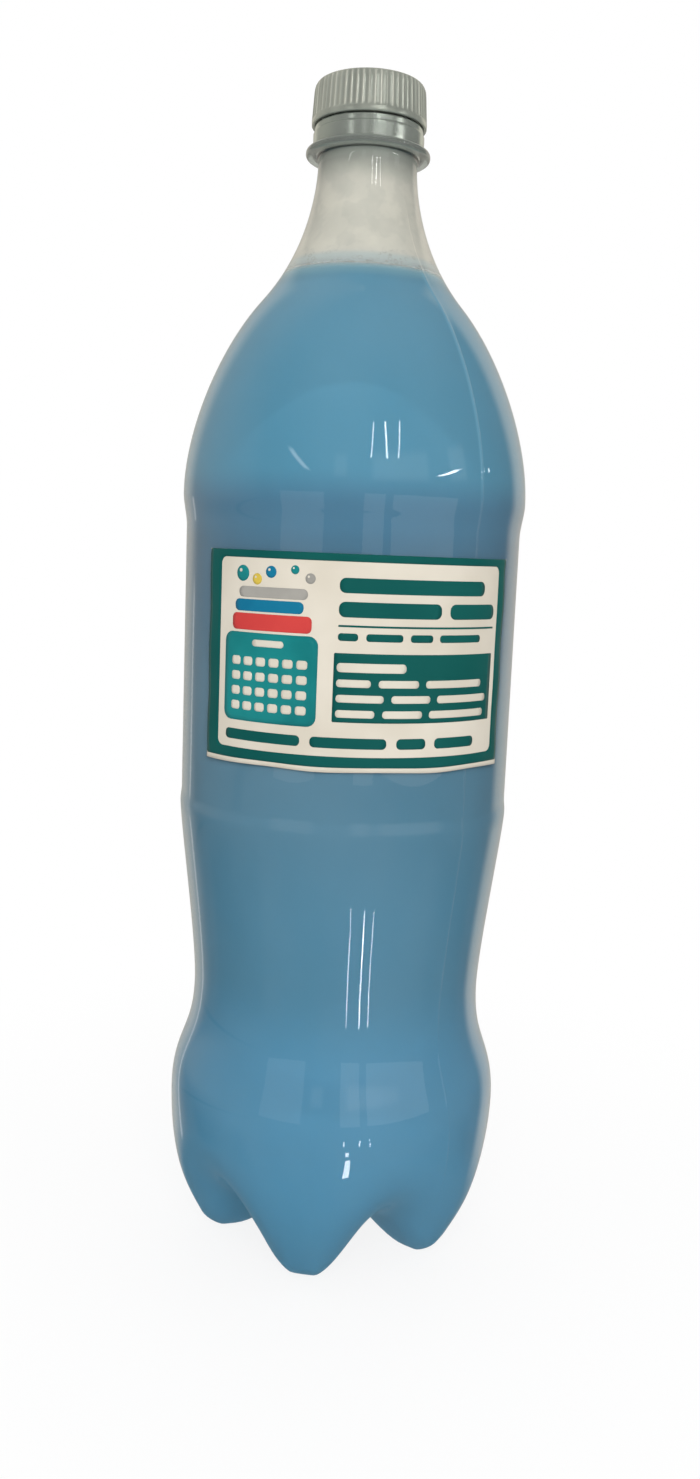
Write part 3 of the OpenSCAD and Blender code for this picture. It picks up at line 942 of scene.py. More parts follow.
    def build(self) -> Object:
        """Builds the shell, from the middle of the base up the outside and down the inside.

        The seams of the mould stand out as bells of height seam_h along two meridians.

        Returns:
            The closed shell.
        """
        angles = self.angles()
        outer = np.concatenate([self.base(0, angles)[::-1], revolve(self.body_line()[-2::-1], angles)])
        finish = self.finish_line()
        winding = self.thread(finish[:, 1:], angles[None, :])
        neck = revolve(finish, angles)
        neck[..., 0] += winding * np.cos(angles)
        neck[..., 1] += winding * np.sin(angles)
        reach = np.hypot(outer[..., 0], outer[..., 1])
        seam = self.seam_mark(angles, reach, self.seam_w)
        z = outer[..., 2]
        seam = seam * self.seam_h * ease(z, *self.seam_from) * (1 - ease(z, *self.seam_to))
        outer[..., :2] *= (1 + seam / np.maximum(reach, 1))[..., None]
        mouth = np.concatenate([
            cubic((self.mouth_r + 0.5, self.lip), (self.mouth_r + 0.15, self.lip),
                  (self.mouth_r, self.lip - 0.15), (self.mouth_r, self.lip - 0.5), 4),
            np.linspace((self.mouth_r, self.lip - 1.5), (self.mouth_r, self.neck[1] + 1), 8)])
        inside = revolve(joined(mouth, self.inner_line()[:-1]), angles)
        inner = np.concatenate([inside, self.base(self.wall, angles)])
        maker = MeshMaker()
        maker.add(np.concatenate([outer, neck, inner]),
                  poles=((0, 0, self.push_up), (0, 0, self.push_up + self.wall)))
        return maker.make("bottle_shell")


@dataclass
class Filling:
    """The laundry liquid, the film above it and the bubbles at its edge.

    surface_at gives the rings of the surface by their distance from the wall, and ragged the
    waves of the film's lower edge as height, count and start.
    """

    shape: BottleShape
    gap: float = -0.06
    level: float = 269.6
    meniscus: float = 0.9
    meniscus_w: float = 1.1
    surface_at: tuple = (0.15, 0.4, 0.8, 1.4, 2.2, 3.5, 5.5, 9, 14, 20)
    columns: int = 180
    rows: int = 56
    film_gap: float = -0.2
    film_t: float = 0.08
    film_drop: float = 3.0
    ragged: tuple = ((0.35, 3, 0), (0.25, 7, 1), (0.15, 17, 0))
    bubble_count: int = 46
    bubble_size: tuple = (0.25, 0.8)
    bubble_cluster: tuple = (-112, 9)
    bubble_lift: float = 0.8
    bubble_climb: float = 0.7
    bubble_gap: float = 0.05
    bubble_reach: float = 1.25
    # Width of the painted highlight along the seams on the liquid, and the heights over which it sets
    # in.
    seam_w: float = 0.42
    seam_highlight_rise: tuple = (208, 222)

    def wall_at(self, z: np.ndarray, gap: float) -> np.ndarray:
        """Radius of the inside of the body at heights above the bulge, less a gap."""
        line = self.shape.inner_line(gap)[::-1]
        above = self.shape.mouth_r - gap
        return np.where(z > self.shape.neck[1], above, np.interp(z, line[:, 1], line[:, 0]))

    def liquid(self) -> Object:
        """Builds the liquid up to its level, where its edge climbs the wall.

        It wets the wall: its face lies a little inside the plastic, so that no gap of air shows.

        The surface is level + meniscus exp(-(R - r) / meniscus_w), for a wall radius R.

        Returns:
            The closed solid of liquid.
        """
        shape = self.shape
        angles = shape.angles()
        low = shape.base(shape.wall + self.gap, angles)[::-1]
        line = shape.inner_line(self.gap)[-2::-1]
        edge_z = self.level + self.meniscus
        rim = float(self.wall_at(edge_z, self.gap))
        side = np.concatenate([line[line[:, 1] < edge_z - 1], [(rim, edge_z)]])
        away = np.array(self.surface_at)
        rise = self.meniscus * np.exp(-away / self.meniscus_w)
        top = np.stack([rim - away, self.level + rise], -1)
        grid = np.concatenate([low, revolve(np.concatenate([side, top]), angles)])
        # Mask of the painted highlight along the mould's seams, handed to the liquid's finish as seam.
        seam = shape.seam_mark(angles, np.hypot(grid[..., 0], grid[..., 1]), self.seam_w)
        maker = MeshMaker()
        maker.add(grid, poles=((0, 0, shape.push_up + shape.wall + self.gap), (0, 0, self.level)),
                  seam=seam * ease(grid[..., 2], *self.seam_highlight_rise))
        return maker.make("laundry_liquid")

    def film(self) -> Object:
        """Builds the film of mist from the liquid's edge to the neck finish, closed and very thin.

        It lies just inside the wall, so that no gap of air shows. Its lower edge is a sum of
        sines of the angle.

        Returns:
            The closed film.
        """
        angles = circle(self.columns)
        edge = sum(height * np.sin(count * angles + start) for height, count, start in self.ragged)
        foot = self.level - self.film_drop + edge
        head = self.shape.ring_top - 0.5
        z = foot + (head - foot) * np.linspace(0, 1, self.rows)[:, None]
        faces = [polar(self.wall_at(z, gap), angles, z)
                 for gap in (self.film_gap, self.film_gap + self.film_t)]
        faces[1] = faces[1][::-1]
        maker = MeshMaker()
        maker.add(np.concatenate(faces), loop=True)
        return maker.make("headspace_film")

    def bubbles(self) -> Object:
        """Builds small bubbles that cling to the wall at the liquid's edge.

        Each is a ball (R sin v cos u, R sin v sin u, R cos v) set against the wall.

        Returns:
            One object with all the bubbles.
        """
        draw = np.random.default_rng(7)
        clustered = self.bubble_count // 2
        turn = np.radians(np.concatenate([
            draw.normal(*self.bubble_cluster, clustered),
            draw.uniform(0, 360, self.bubble_count - clustered)]))
        size = draw.uniform(*self.bubble_size, self.bubble_count)
        z = self.level + self.meniscus + size * self.bubble_lift
        z = z + draw.exponential(self.bubble_climb, self.bubble_count)
        reach = self.wall_at(z, self.bubble_gap) - size * self.bubble_reach
        v = np.linspace(0, math.pi, 10)[1:-1][::-1, None]
        ball = polar(np.sin(v), circle(16), np.cos(v))
        centres = polar(reach, turn, z)
        maker = MeshMaker()
        for centre, radius in zip(centres, size):
            up = np.array([0, 0, radius])
            maker.add(centre + radius * ball, poles=(centre - up, centre + up))
        return maker.make("edge_bubbles")


# Closure


@dataclass
class Closure:
    """The screw cap with its sealing disc, and the tamper band left on the neck.

    roof_at gives the radii of the cap's top, which has the moulding's small pit in its middle.
    """

    shape: BottleShape
    foot: float = 309.0
    height: float = 10.6
    rim_r: float = 15.2
    top_r: float = 14.75
    bore_r: float = 14.0
    top_t: float = 1.0
    rim_h: float = 1.3
    crown: float = 2.4
    pit_r: float = 1.2
    pit_h: float = 0.25
    roof_at: tuple = (0.4, 0.8, 1.2, 1.6, 4, 7, 10, 12.4)
    flutes: int = 60
    flute_depth: float = 0.3
    flute_steps: int = 8
    flute_from_r: float = 12.6
    liner_t: float = 0.5
    liner_r: float = 13.4
    belt_r: float = 14.7
    edge_r: float = 14.35
    band_h: float = 5.7
    belt_h: float = 4.1
    thread_reach: float = 1.18
    nubs: int = 12
    nub_h: float = 0.22
    nub_w: float = 0.35

    def cap(self) -> Object:
        """Builds the cap, from the middle of its top out, down, in under the rim and up inside.

        A flute is a round groove: r falls by depth (1 - |2s - 1|^3) over its share s of the
        turn, and fades into the plain rim and the crown.

        Returns:
            The closed cap, with crest as a mark of how far a place stands out.
        """
        angles = circle(self.flutes * self.flute_steps)
        foot, rim, bore = self.foot, self.rim_r, self.bore_r
        top = foot + self.height
        stop, edge, ceiling = top - self.crown, foot + self.rim_h, top - self.top_t
        outer = np.concatenate([
            [(r, top - self.pit_h * max(0.0, 1 - r / self.pit_r)) for r in self.roof_at],
            cubic((13.0, top), (14.1, top - 0.02), (self.top_r - 0.12, top - 0.8),
                  (self.top_r, stop), 12),
            np.linspace((self.top_r, stop), (rim, edge), 16)[1:]])
        line = np.concatenate([
            outer,
            [(rim + 0.02, edge - 0.12), (rim, foot + 0.35)],
            cubic((rim, foot + 0.3), (rim, foot + 0.08), (rim - 0.08, foot), (rim - 0.3, foot), 4),
            [(bore + 0.25, foot), (bore, foot + 0.25)],
            [(bore, z) for z in np.linspace(foot + 0.5, ceiling - 0.5, 40)],
            [(bore, ceiling - 0.2), *((r, ceiling) for r in (bore - 0.2, 10.0, 5.0, 1.0))]])
        r, z = line[:, :1], line[:, 1:]
        turn = angles * self.flutes / (2 * math.pi)
        groove = 1 - np.abs(2 * (turn % 1) - 1) ** 3
        fade = ease(z, edge - 0.05, edge + 0.5) * (1 - ease(z, top - 1.1, top - 0.25))
        fade = fade * (np.arange(len(line)) < len(outer))[:, None] * (r > self.flute_from_r)
        winding = self.shape.thread(z + self.shape.pitch / 2, angles[None, :]) / self.shape.thread_rise
        reach = r - self.flute_depth * groove * fade - self.thread_reach * winding * (r == bore)
        # Each flute's painted highlight gets a strength drawn at random.
        crest_highlight = np.random.default_rng(3).uniform(0.1, 1, self.flutes)
        crest_highlight = crest_highlight[(np.round(turn) % self.flutes).astype(int)]
        maker = MeshMaker()
        maker.add(polar(reach, angles, z)[::-1], poles=((0, 0, ceiling), (0, 0, top - self.pit_h)),
                  crest=((1 - groove) * fade * crest_highlight)[::-1])
        return maker.make("screw_cap")

    def liner(self) -> Object:
        """Builds the sealing disc, with a ring pressed into it by the lip."""
        low, high = self.shape.lip, self.shape.lip + self.liner_t
        rim, edge = self.liner_r, 0.08
        line = np.array([
            (2.0, low), (10.4, low), (10.9, low + 0.04), (11.9, low + 0.04), (12.4, low),
            (rim - edge, low), (rim, low + edge), (rim, high - edge), (rim - edge, high),
            (7.0, high), (2.0, high)])
        maker = MeshMaker()
        maker.add(revolve(line, circle(96)), poles=((0, 0, low), (0, 0, high)))
        return maker.make("sealing_disc")

    def band(self) -> Object:
        """Builds the tamper band: a belt, a thin upper edge with broken bridges, and a hook.

        The bridges are bells of height nub_h on the upper edge.

        Returns:
            The closed ring.
        """
        angles = circle(288)
        foot = self.shape.ring_top
        inner, groove = self.shape.bead_r + 0.15, self.shape.groove_r
        belt, edge = self.belt_r, self.edge_r
        step, high = foot + self.belt_h, foot + self.band_h
        line = np.concatenate([
            [(inner + 0.15, foot + 0.02), (belt - 0.4, foot + 0.02)],
            cubic((belt - 0.3, foot + 0.03), (belt - 0.05, foot + 0.05), (belt, foot + 0.15),
                  (belt, foot + 0.4), 4),
            [(belt, z) for z in np.linspace(foot + 0.8, step - 0.5, 8)],
            cubic((belt, step - 0.35), (belt, step - 0.1), (belt - 0.08, step), (edge, step + 0.06), 5),
            [(edge, step + 0.3), (edge, high - 0.35), (edge, high - 0.08), (edge - 0.07, high),
             (inner + 0.07, high), (inner, high - 0.08), (inner, foot + 2.9), (inner, foot + 2.8),
             (groove + 0.4, foot + 1.75), (groove + 0.35, foot + 0.7), (groove + 0.45, foot + 0.62),
             (inner, foot + 0.55)]])
        grid = revolve(line, angles)
        nub = bump(angle_gap(angles * self.nubs, 0) / self.nubs * edge, self.nub_w)
        grid[..., 2] += self.nub_h * nub * (line[:, 1:] >= high - 0.01)
        maker = MeshMaker()
        maker.add(grid, loop=True)
        return maker.make("tamper_band_ring")


# Label


class Ink(Enum):
    """Inks of the label, with the node that each stands for and the slot of its finish."""

    GREEN = ("label_green_print", Slot.GREEN)
    TEAL = ("label_teal_print", Slot.TEAL)
    RED = ("label_red_print", Slot.RED)
    BLUE = ("label_blue_print", Slot.BLUE)
    GREY = ("label_grey_print", Slot.GREY)
    YELLOW = ("label_yellow_print", Slot.YELLOW)
    CREAM = ("", Slot.PAPER)


@dataclass
class Label:
    """The self-adhesive label and its print, on a grid of 90 by 54 units.

    Fields are left, right, foot and head. A row of bars is its foot, its height, the space
    between bars, and their lengths. A towel is its ink, what it is short of at the left and
    the right, its foot and its height. A bubble is its ink, its place and its radius, and the
    glint on it is set off by shares of that radius.
    """

    shape: BottleShape
    width: float = 89.2
    height: float = 53.8
    rise: float = 12.8
    glue: float = 0.06
    thickness: float = 0.1
    art_w: float = 90.0
    art_h: float = 54.0
    ink_t: float = 0.014
    ink_gap: float = 0.012
    lift: float = 0.22
    curl_w: tuple = (5, 3)
    side_wave: float = 0.31
    end_waves: tuple = (0.37, 0.06)
    sag: float = 0.16
    sag_wave: float = 0.21
    sheet_steps: tuple = (121, 61)
    page: tuple = (-40.4, 41.4, 3.9, 52.1)
    page_corner: float = 1.8
    frame_z: float = 1.2
    box: tuple = (-7.2, 39.6, 12.6, 29.8)
    box_corner: float = 0.35
    rule_z: tuple = (36.2, 36.7)
    rule_corner: float = 0.2
    bar_corner: float = 0.42
    text_x: float = -6.4
    foot_text_x: float = -37.4
    head_rows: tuple = (
        (44.5, 3.7, 2.0, (41.4,)),
        (38.6, 3.8, 2.6, (26.8, 16.6)),
        (32.8, 1.9, 2.0, (5.0, 9.4, 6.2, 13.8)))
    box_rows: tuple = (
        (25.1, 2.3, 2.0, (17.6,)),
        (21.4, 1.9, 2.0, (8.6, 10.6, 18.4)),
        (17.6, 1.9, 2.0, (12.0, 10.6, 17.2)),
        (13.8, 1.9, 2.0, (9.8, 10.6, 18.6)))
    foot_rows: tuple = ((6.0, 2.7, 2.6, (22.2, 19.4, 8.0, 13.2)),)
    picture: tuple = (-38.2, -11.2)
    basket: tuple = (11.0, 33.5)
    basket_corner: float = 2.4
    slots: tuple = (4, 6)
    slot_step: float = 3.8
    slot_size: tuple = (2.8, 2.2)
    slot_foot: float = 2.8
    slot_corner: float = 0.7
    grip: tuple = (9.0, 1.7)
    grip_corner: float = 0.8
    grip_drop: float = 3.4
    towel_corner: float = 1.3
    towels: tuple = (
        (Ink.RED, 2.4, 1.8, 34.1, 4.2),
        (Ink.BLUE, 3.2, 4.0, 38.8, 3.0),
        (Ink.GREY, 4.4, 3.0, 42.3, 2.7))
    bubbles: tuple = (
        (Ink.TEAL, 5.5, 48.2, 2.0),
        (Ink.TEAL, 20.5, 49.6, 1.1),
        (Ink.BLUE, 14.0, 48.8, 1.5),
        (Ink.GREY, 24.5, 47.6, 1.3),
        (Ink.YELLOW, 10.0, 46.9, 1.4))
    glint: tuple = (0.35, 0.22)
    fill_step: float = 1.6

    def sheet_point(self, x: np.ndarray, z: np.ndarray, layer: float) -> np.ndarray:
        """Point on the label's face, or on a layer of ink over it.

        A place x along the curve lies at the angle x / R from -Y. The sheet lifts a little at
        its edges, by lift times two slow sines.

        Args:
            x: Place along the curve from the middle, on the artwork's grid.
            z: Height over the foot, on the artwork's grid.
            layer: Number of the ink layer, 0 for the paper.

        Returns:
            The points in millimetres.
        """
        paper = self.shape.panel_foot[0] + self.glue + self.thickness
        across, up = x / self.art_w * self.width, z / self.art_h * self.height
        half_w, half_h = self.art_w / 2, self.art_h / 2
        side = ease(np.abs(x), half_w - self.curl_w[0], half_w)
        ends = ease(np.abs(z - half_h), half_h - self.curl_w[1], half_h)
        wave = (side * (0.5 + 0.5 * np.sin(self.side_wave * z + np.sign(x)))
                + ends * (0.5 + 0.5 * np.sin(self.end_waves[0] * x + self.end_waves[1] * z)))
        r = paper + self.lift * wave + layer * (self.ink_t + self.ink_gap)
        a = across / (paper - self.thickness) - math.pi / 2
        sag = self.sag * ends * np.sin(self.sag_wave * x + 0.5) * (z < half_h)
        return polar(r, a, self.shape.panel_foot[1] + self.rise + up + sag)

    @staticmethod
    def rounded(x0: float, x1: float, z0: float, z1: float, corner: float,
                step: float = 1.4) -> np.ndarray:
        """Outline of a field with round corners, against the clock.

        Args:
            x0: Left side.
            x1: Right side.
            z0: Foot.
            z1: Head.
            corner: Radius of the corners.
            step: Longest step along a straight side.

        Returns:
            Points of the outline.
        """
        corner = min(corner, (x1 - x0) / 2 - 0.01, (z1 - z0) / 2 - 0.01)
        centres = np.array([(x1 - corner, z0 + corner), (x1 - corner, z1 - corner),
                            (x0 + corner, z1 - corner), (x0 + corner, z0 + corner)])
        parts = []
        for k, centre in enumerate(centres):
            a = np.radians(np.linspace(-90 + 90 * k, 90 * k, 6))
            parts.append(centre + corner * np.stack([np.cos(a), np.sin(a)], -1))
            start = parts[-1][-1]
            end = centres[(k + 1) % 4] + corner * np.array([math.cos(a[-1]), math.sin(a[-1])])
            count = max(1, math.ceil(np.linalg.norm(end - start) / step))
            parts.append(np.linspace(start, end, count + 1)[1:-1])
        return np.concatenate(parts)

    @staticmethod
    def round_spot(x: float, z: float, r: float) -> np.ndarray:
        """Outline of a round spot, against the clock."""
        a = circle(28)
        return np.stack([x + r * np.cos(a), z + r * np.sin(a)], -1)

    def fill(self, maker: MeshMaker, outline: np.ndarray, layer: float = 1) -> None:
        """Adds a filled field: points run from its middle out to its outline.

        Args:
            maker: Where the field goes.
            outline: Outline against the clock.
            layer: Layer of ink.
        """
        middle = (outline.min(0) + outline.max(0)) / 2
        reach = np.abs(outline - middle).max()
        rings = max(2, math.ceil(reach / self.fill_step))
        share = np.linspace(1, 0, rings + 1)[:-1, None, None]
        flat = middle + share * (outline - middle)
        grid = self.sheet_point(flat[..., 0], flat[..., 1], layer)
        centre = self.sheet_point(*middle, layer)
        maker.add(grid, poles=(None, centre))

    def ring(self, maker: MeshMaker, outer: np.ndarray, inner: np.ndarray, layer: float = 1,
             steps: int = 4) -> None:
        """Adds a field between two outlines with as many points.

        Args:
            maker: Where the field goes.
            outer: Outer outline, against the clock.
            inner: Inner outline, against the clock.
            layer: Layer of ink.
            steps: Steps from one to the other.
        """
        share = np.linspace(0, 1, steps + 1)[:, None, None]
        flat = outer + share * (inner - outer)
        maker.add(self.sheet_point(flat[..., 0], flat[..., 1], layer))

    def rows(self, maker: MeshMaker, left: float, rows: tuple, layer: float = 1) -> None:
        """Adds rows of rounded bars that stand for words.

        Args:
            maker: Where the bars go.
            left: Left end of the rows.
            rows: Foot, height, space between bars, and lengths of the bars, for each row.
            layer: Layer of ink.
        """
        for z, height, space, lengths in rows:
            x = left
            for length in lengths:
                bar = self.rounded(x, x + length, z, z + height, height * self.bar_corner)
                self.fill(maker, bar, layer)
                x += length + space

    def sheet(self) -> Object:
        """Builds the paper as one thin closed sheet."""
        x = np.linspace(-self.art_w / 2, self.art_w / 2, self.sheet_steps[0])
        z = np.linspace(0, self.art_h, self.sheet_steps[1])[:, None]
        maker = MeshMaker()
        maker.add(self.sheet_point(x + 0 * z, z + 0 * x, 0), around=False)
        return self.thicken(maker.make("label_sheet"), self.thickness)

    @staticmethod
    def thicken(piece: Object, thickness: float) -> Object:
        """Gives a face its thickness, inwards, with a Solidify modifier."""
        solid = piece.modifiers.new("thickness", "SOLIDIFY")
        solid.thickness = thickness * MM
        solid.offset = -1
        return piece

    def inks(self) -> dict[Ink, Object]:
        """Builds the print: one piece for each ink.

        Returns:
            The pieces by ink.
        """
        makers = {ink: MeshMaker() for ink in Ink}
        self.frame(makers)
        self.text(makers)
        self.picture_parts(makers)
        return {ink: self.thicken(maker.make(f"{ink.name.lower()}_ink_print"), self.ink_t)
                for ink, maker in makers.items() if maker.quads}

    def frame(self, makers: dict[Ink, MeshMaker]) -> None:
        """Adds the green frame round the page, and the green box for the doses."""
        half = self.art_w / 2
        inner = self.rounded(*self.page, self.page_corner)
        middle = (inner.min(0) + inner.max(0)) / 2
        away = inner - middle
        reach = np.array([half, (self.art_h - self.frame_z) / 2])
        scale = np.min(reach / np.maximum(np.abs(away), 1e-6), axis=1)
        outer = np.array([0, (self.art_h + self.frame_z) / 2]) + away * scale[:, None]
        self.ring(makers[Ink.GREEN], outer, inner)
        self.fill(makers[Ink.GREEN], self.rounded(*self.box, self.box_corner))

    def text(self, makers: dict[Ink, MeshMaker]) -> None:
        """Adds the rows of bars in place of the words, and the rule under the headline."""
        green = makers[Ink.GREEN]
        self.rows(green, self.text_x, self.head_rows)
        self.fill(green, self.rounded(self.text_x, self.box[1], *self.rule_z, self.rule_corner))
        self.rows(green, self.foot_text_x, self.foot_rows)
        self.rows(makers[Ink.CREAM], self.text_x, self.box_rows, 2)

    def picture_parts(self, makers: dict[Ink, MeshMaker]) -> None:
        """Adds the picture: a washing basket with folded towels and bubbles."""
        left, right = self.picture
        middle = (left + right) / 2
        foot, head = self.basket
        cream = makers[Ink.CREAM]
        self.fill(makers[Ink.TEAL], self.rounded(left, right, foot, head, self.basket_corner))
        slot_w, slot_h = self.slot_size
        first = middle - (self.slot_step * (self.slots[1] - 1) + slot_w) / 2
        for row in range(self.slots[0]):
            for i in range(self.slots[1]):
                x, z = first + self.slot_step * i, foot + self.slot_foot + self.slot_step * row
                self.fill(cream, self.rounded(x, x + slot_w, z, z + slot_h, self.slot_corner), 2)
        grip_w, grip_h = self.grip
        grip_z = head - self.grip_drop
        self.fill(cream, self.rounded(middle - grip_w / 2, middle + grip_w / 2,
                                      grip_z, grip_z + grip_h, self.grip_corner), 2)
        for ink, short_left, short_right, z, h in self.towels:
            towel = self.rounded(left + short_left, right - short_right, z, z + h, self.towel_corner)
            self.fill(makers[ink], towel)
        off, size = self.glint
        for ink, x, z, r in self.bubbles:
            self.fill(makers[ink], self.round_spot(left + x, z, r))
            self.fill(cream, self.round_spot(left + x - r * off, z + r * off, r * size), 2)


# Stage


@dataclass(frozen=True)
class Lamp:
    """A rectangular lamp that faces the bottle.

    azimuth is the turn from the camera towards +X, elevation the angle up from level, and
    width and height are angles too, all as seen from the aim. Lengths are in metres. A
    mirrored lamp stands for a window: reflections show it, and it lights nothing.
    """

    name: str
    azimuth: float
    elevation: float
    width: float
    height: float
    brightness: float
    distance: float = 0.9
    aim: float = 0.16
    mirrored: bool = False


@dataclass(frozen=True)
class Strip:
    """A thin lamp on the floor, as a glossy table mirrors a tube of light.

    azimuth is where it is seen, in degrees, near and far are its ends' distances from the
    waist, and width is across it, in millimetres.
    """

    azimuth: float
    width: float
    brightness: float
    near: float = 134.0
    far: float = 190.0


@dataclass(frozen=True)
class Glow:
    """A bright patch of the room that only reflections see, in degrees like a lamp.

    soft is the width of its edges, fade that of its upper edge if it differs, and lean the
    azimuth that it gains for each degree up. A brightness below 0 darkens.
    """

    azimuth: float
    elevation: float
    width: float
    height: float
    brightness: float
    soft: float = 1.0
    lean: float = 0.0
    fade: float = 0.0


@dataclass
class Studio:
    """Floor, lamps, world and camera.

    The camera's place is in metres and its angles in degrees. The room has a pale wall: its
    share of light sets in over the azimuths wall_right and wall_left and falls to wall_behind
    over wall_fade. Haze sets in at the left over haze_turn, above haze_rise. Above ceiling_rise
    the grey room is lighter, and below table_rise reflections see the table. fill is the light
    that matt surfaces get from level and from straight up, bounce the floor's share of plain
    white light, and floor_white how white the camera sees it between two distances in metres.
    """

    turn: float = -4.5
    distance: float = 0.34947
    height: float = 0.1997
    pitch: float = 8.80
    roll: float = 2.302
    yaw: float = 0.231
    focal_px: float = 1242.0
    frame_px: float = 1479.0
    sensor: float = 36.0
    fill: tuple = (0.2, 0.72)
    bounce: float = 0.68
    floor_z: float = -0.02
    floor_rings: tuple = (12000, 4000, 1200, 400, 120, 30)
    floor_grey: Colour = (0.9, 0.9, 0.9)
    floor_white: tuple = (0.05, 0.24, 0.86, 1.0)
    lamps: tuple = (
        Lamp("key", 2, 26, 34, 36, 5.4),
        Lamp("back", 178, 45, 50, 30, 1.6),
        Lamp("side_left", -80, 25, 30, 30, 0.9, 0.35, 0.28),
        Lamp("side_right", 80, 25, 30, 30, 1.5, 0.35, 0.28),
        Lamp("window_left", -33, 0, 28, 18, 0.45, 0.65, 0.127, True),
        Lamp("window_middle", 12.5, 0, 13, 18, 0.56, 0.65, 0.127, True),
        Lamp("window_right", 46, 0, 44, 18, 0.6, 0.65, 0.127, True),
        Lamp("shoulder_glint", 93.4, 0, 0.9, 1.6, 16, 0.33, 0.29, True))
    strips: tuple = (
        Strip(9.4, 0.8, 32),
        Strip(19.4, 1.1, 48),
        Strip(26.3, 0.8, 32),
        Strip(12.5, 6, 12, 55, 84),
        Strip(11.5, 4.5, 12, 92, 106))
    strip_from: float = 41.5
    strip_turn: float = 0.56
    wall_right: tuple = (124, 137)
    wall_left: tuple = (116, 150)
    wall_fade: tuple = (138, 172)
    wall_share: float = 1.0
    wall_behind: float = 0.42
    wall_colour: Colour = (0.98, 0.92, 0.8)
    haze_turn: tuple = (60, 115)
    haze_rise: tuple = (-15, -5)
    haze_share: float = 0.4
    ceiling_rise: tuple = (30, 70)
    room_grey: tuple = (0.2, 0.5)
    table_rise: tuple = (-38, -26)
    table_colour: Colour = (0.17, 0.29, 0.37)
    glows: tuple = (
        Glow(30, 17, 38, 12, 0.5, 2.5),
        Glow(-10, 17, 8, 10, 0.4, 2),
        Glow(71.5, 17, 13, 12, 0.5, 2),
        Glow(10.9, 28.1, 0.8, 14, 14, 0.3, 0.14),
        Glow(20.5, 28.1, 1.1, 14, 20, 0.4),
        Glow(29.9, 28.1, 0.9, 14, 14, 0.3, 0.24),
        Glow(64.5, 14, 6, 2.0, 22, 0.5, 6.0),
        Glow(-85, -28, 50, 16, -0.14, 6),
        Glow(95, -28, 40, 16, -0.09, 6),
        Glow(-38.5, 18.5, 3.2, 8, 3.5, 1.2, -1.7),
        Glow(-136, -17, 3, 30, 0.7, 1.0),
        Glow(-93.5, -13.4, 8, 9, -0.18, 3, 6.3))

    def light(self, lamp: Lamp) -> None:
        """Adds a lamp: one that only reflections show, or one that they don't.

        A white surface square to a lamp of brightness b sees the radiance b over its whole
        rectangle, so the power is b times pi times the area.

        Args:
            lamp: What to add.
        """
        data = bpy.data.lights.new(lamp.name, "AREA")
        data.shape = "RECTANGLE"
        data.size = 2 * lamp.distance * math.tan(math.radians(lamp.width / 2))
        data.size_y = 2 * lamp.distance * math.tan(math.radians(lamp.height / 2))
        data.energy = lamp.brightness * math.pi * data.size * data.size_y
        lit = bpy.data.objects.new(lamp.name, data)
        a, e = math.radians(self.turn + lamp.azimuth), math.radians(lamp.elevation)
        way = Vector((math.sin(a) * math.cos(e), -math.cos(a) * math.cos(e), math.sin(e)))
        facing = way.to_track_quat("Z", "Y").to_matrix().to_4x4()
        lit.matrix_world = Matrix.Translation(Vector((0, 0, lamp.aim)) + way * lamp.distance) @ facing
        lit.visible_camera = lit.visible_transmission = False
        lit.visible_glossy = lamp.mirrored
        lit.visible_diffuse = not lamp.mirrored
        bpy.context.scene.collection.objects.link(lit)

    def table_strip(self, strip: Strip) -> None:
        """Adds a strip. It starts from the waist at strip_turn times the azimuth at which it is seen.

        Args:
            strip: What to add.
        """
        data = bpy.data.lights.new("strip", "AREA")
        data.shape = "RECTANGLE"
        data.size, data.size_y = strip.width * MM, (strip.far - strip.near) * MM
        data.energy = strip.brightness * math.pi * data.size * data.size_y
        a = math.radians(self.turn + strip.azimuth)
        start = math.radians(self.turn + strip.azimuth * self.strip_turn)
        way = Vector((math.sin(a), -math.cos(a), 0))
        spot = Vector((math.sin(start), -math.cos(start), 0)) * self.strip_from * MM
        spot += way * (strip.near + strip.far) / 2 * MM
        turned = Matrix.Rotation(a, 4, "Z") @ Matrix.Rotation(math.pi, 4, "X")
        lit = bpy.data.objects.new("strip", data)
        lit.matrix_world = Matrix.Translation(spot) @ turned
        lit.visible_camera = lit.visible_diffuse = lit.visible_transmission = False
        bpy.context.scene.collection.objects.link(lit)

    def floor(self) -> None:
        """Adds the pale floor, a large round sheet that the camera sees as white but for shadow."""
        line = np.array([(r, self.floor_z) for r in self.floor_rings])
        maker = MeshMaker()
        maker.add(revolve(line, circle(96)), poles=(None, (0, 0, self.floor_z)))
        piece = maker.make("floor")
        material, board, shader = blank_material("pale_floor")
        board.tree.nodes.remove(shader)
        soft = board.add("ShaderNodeBsdfDiffuse", None, {"Color": rgba(self.floor_grey)})
        white = board.add("ShaderNodeEmission", None, {"Color": (1, 1, 1, 1), "Strength": 1.0})
        away = board.add("ShaderNodeVectorMath", {"operation": "LENGTH"}, {0: board.place()})
        share = board.spread(away.outputs["Value"], *self.floor_white)
        share = board.math("MULTIPLY", self.seen_as_backdrop(board), share)
        share = board.math("MAXIMUM", share, self.bounce)
        board.surface(board.add("ShaderNodeMixShader", None, {
            0: share, 1: soft.outputs[0], 2: white.outputs[0]}))
        piece.data.materials.append(material)
        piece.visible_glossy = False

    @staticmethod
    def seen_as_backdrop(board: Board) -> NodeSocket:
        """Returns 1 for camera and see-through rays that have not met a matt surface."""
        path = board.add("ShaderNodeLightPath")
        seen = board.math("ADD", path.outputs["Is Camera Ray"], path.outputs["Is Transmission Ray"])
        fresh = board.math("LESS_THAN", path.outputs["Diffuse Depth"], 0.5)
        return board.math("MULTIPLY", seen, fresh, clamp=True)

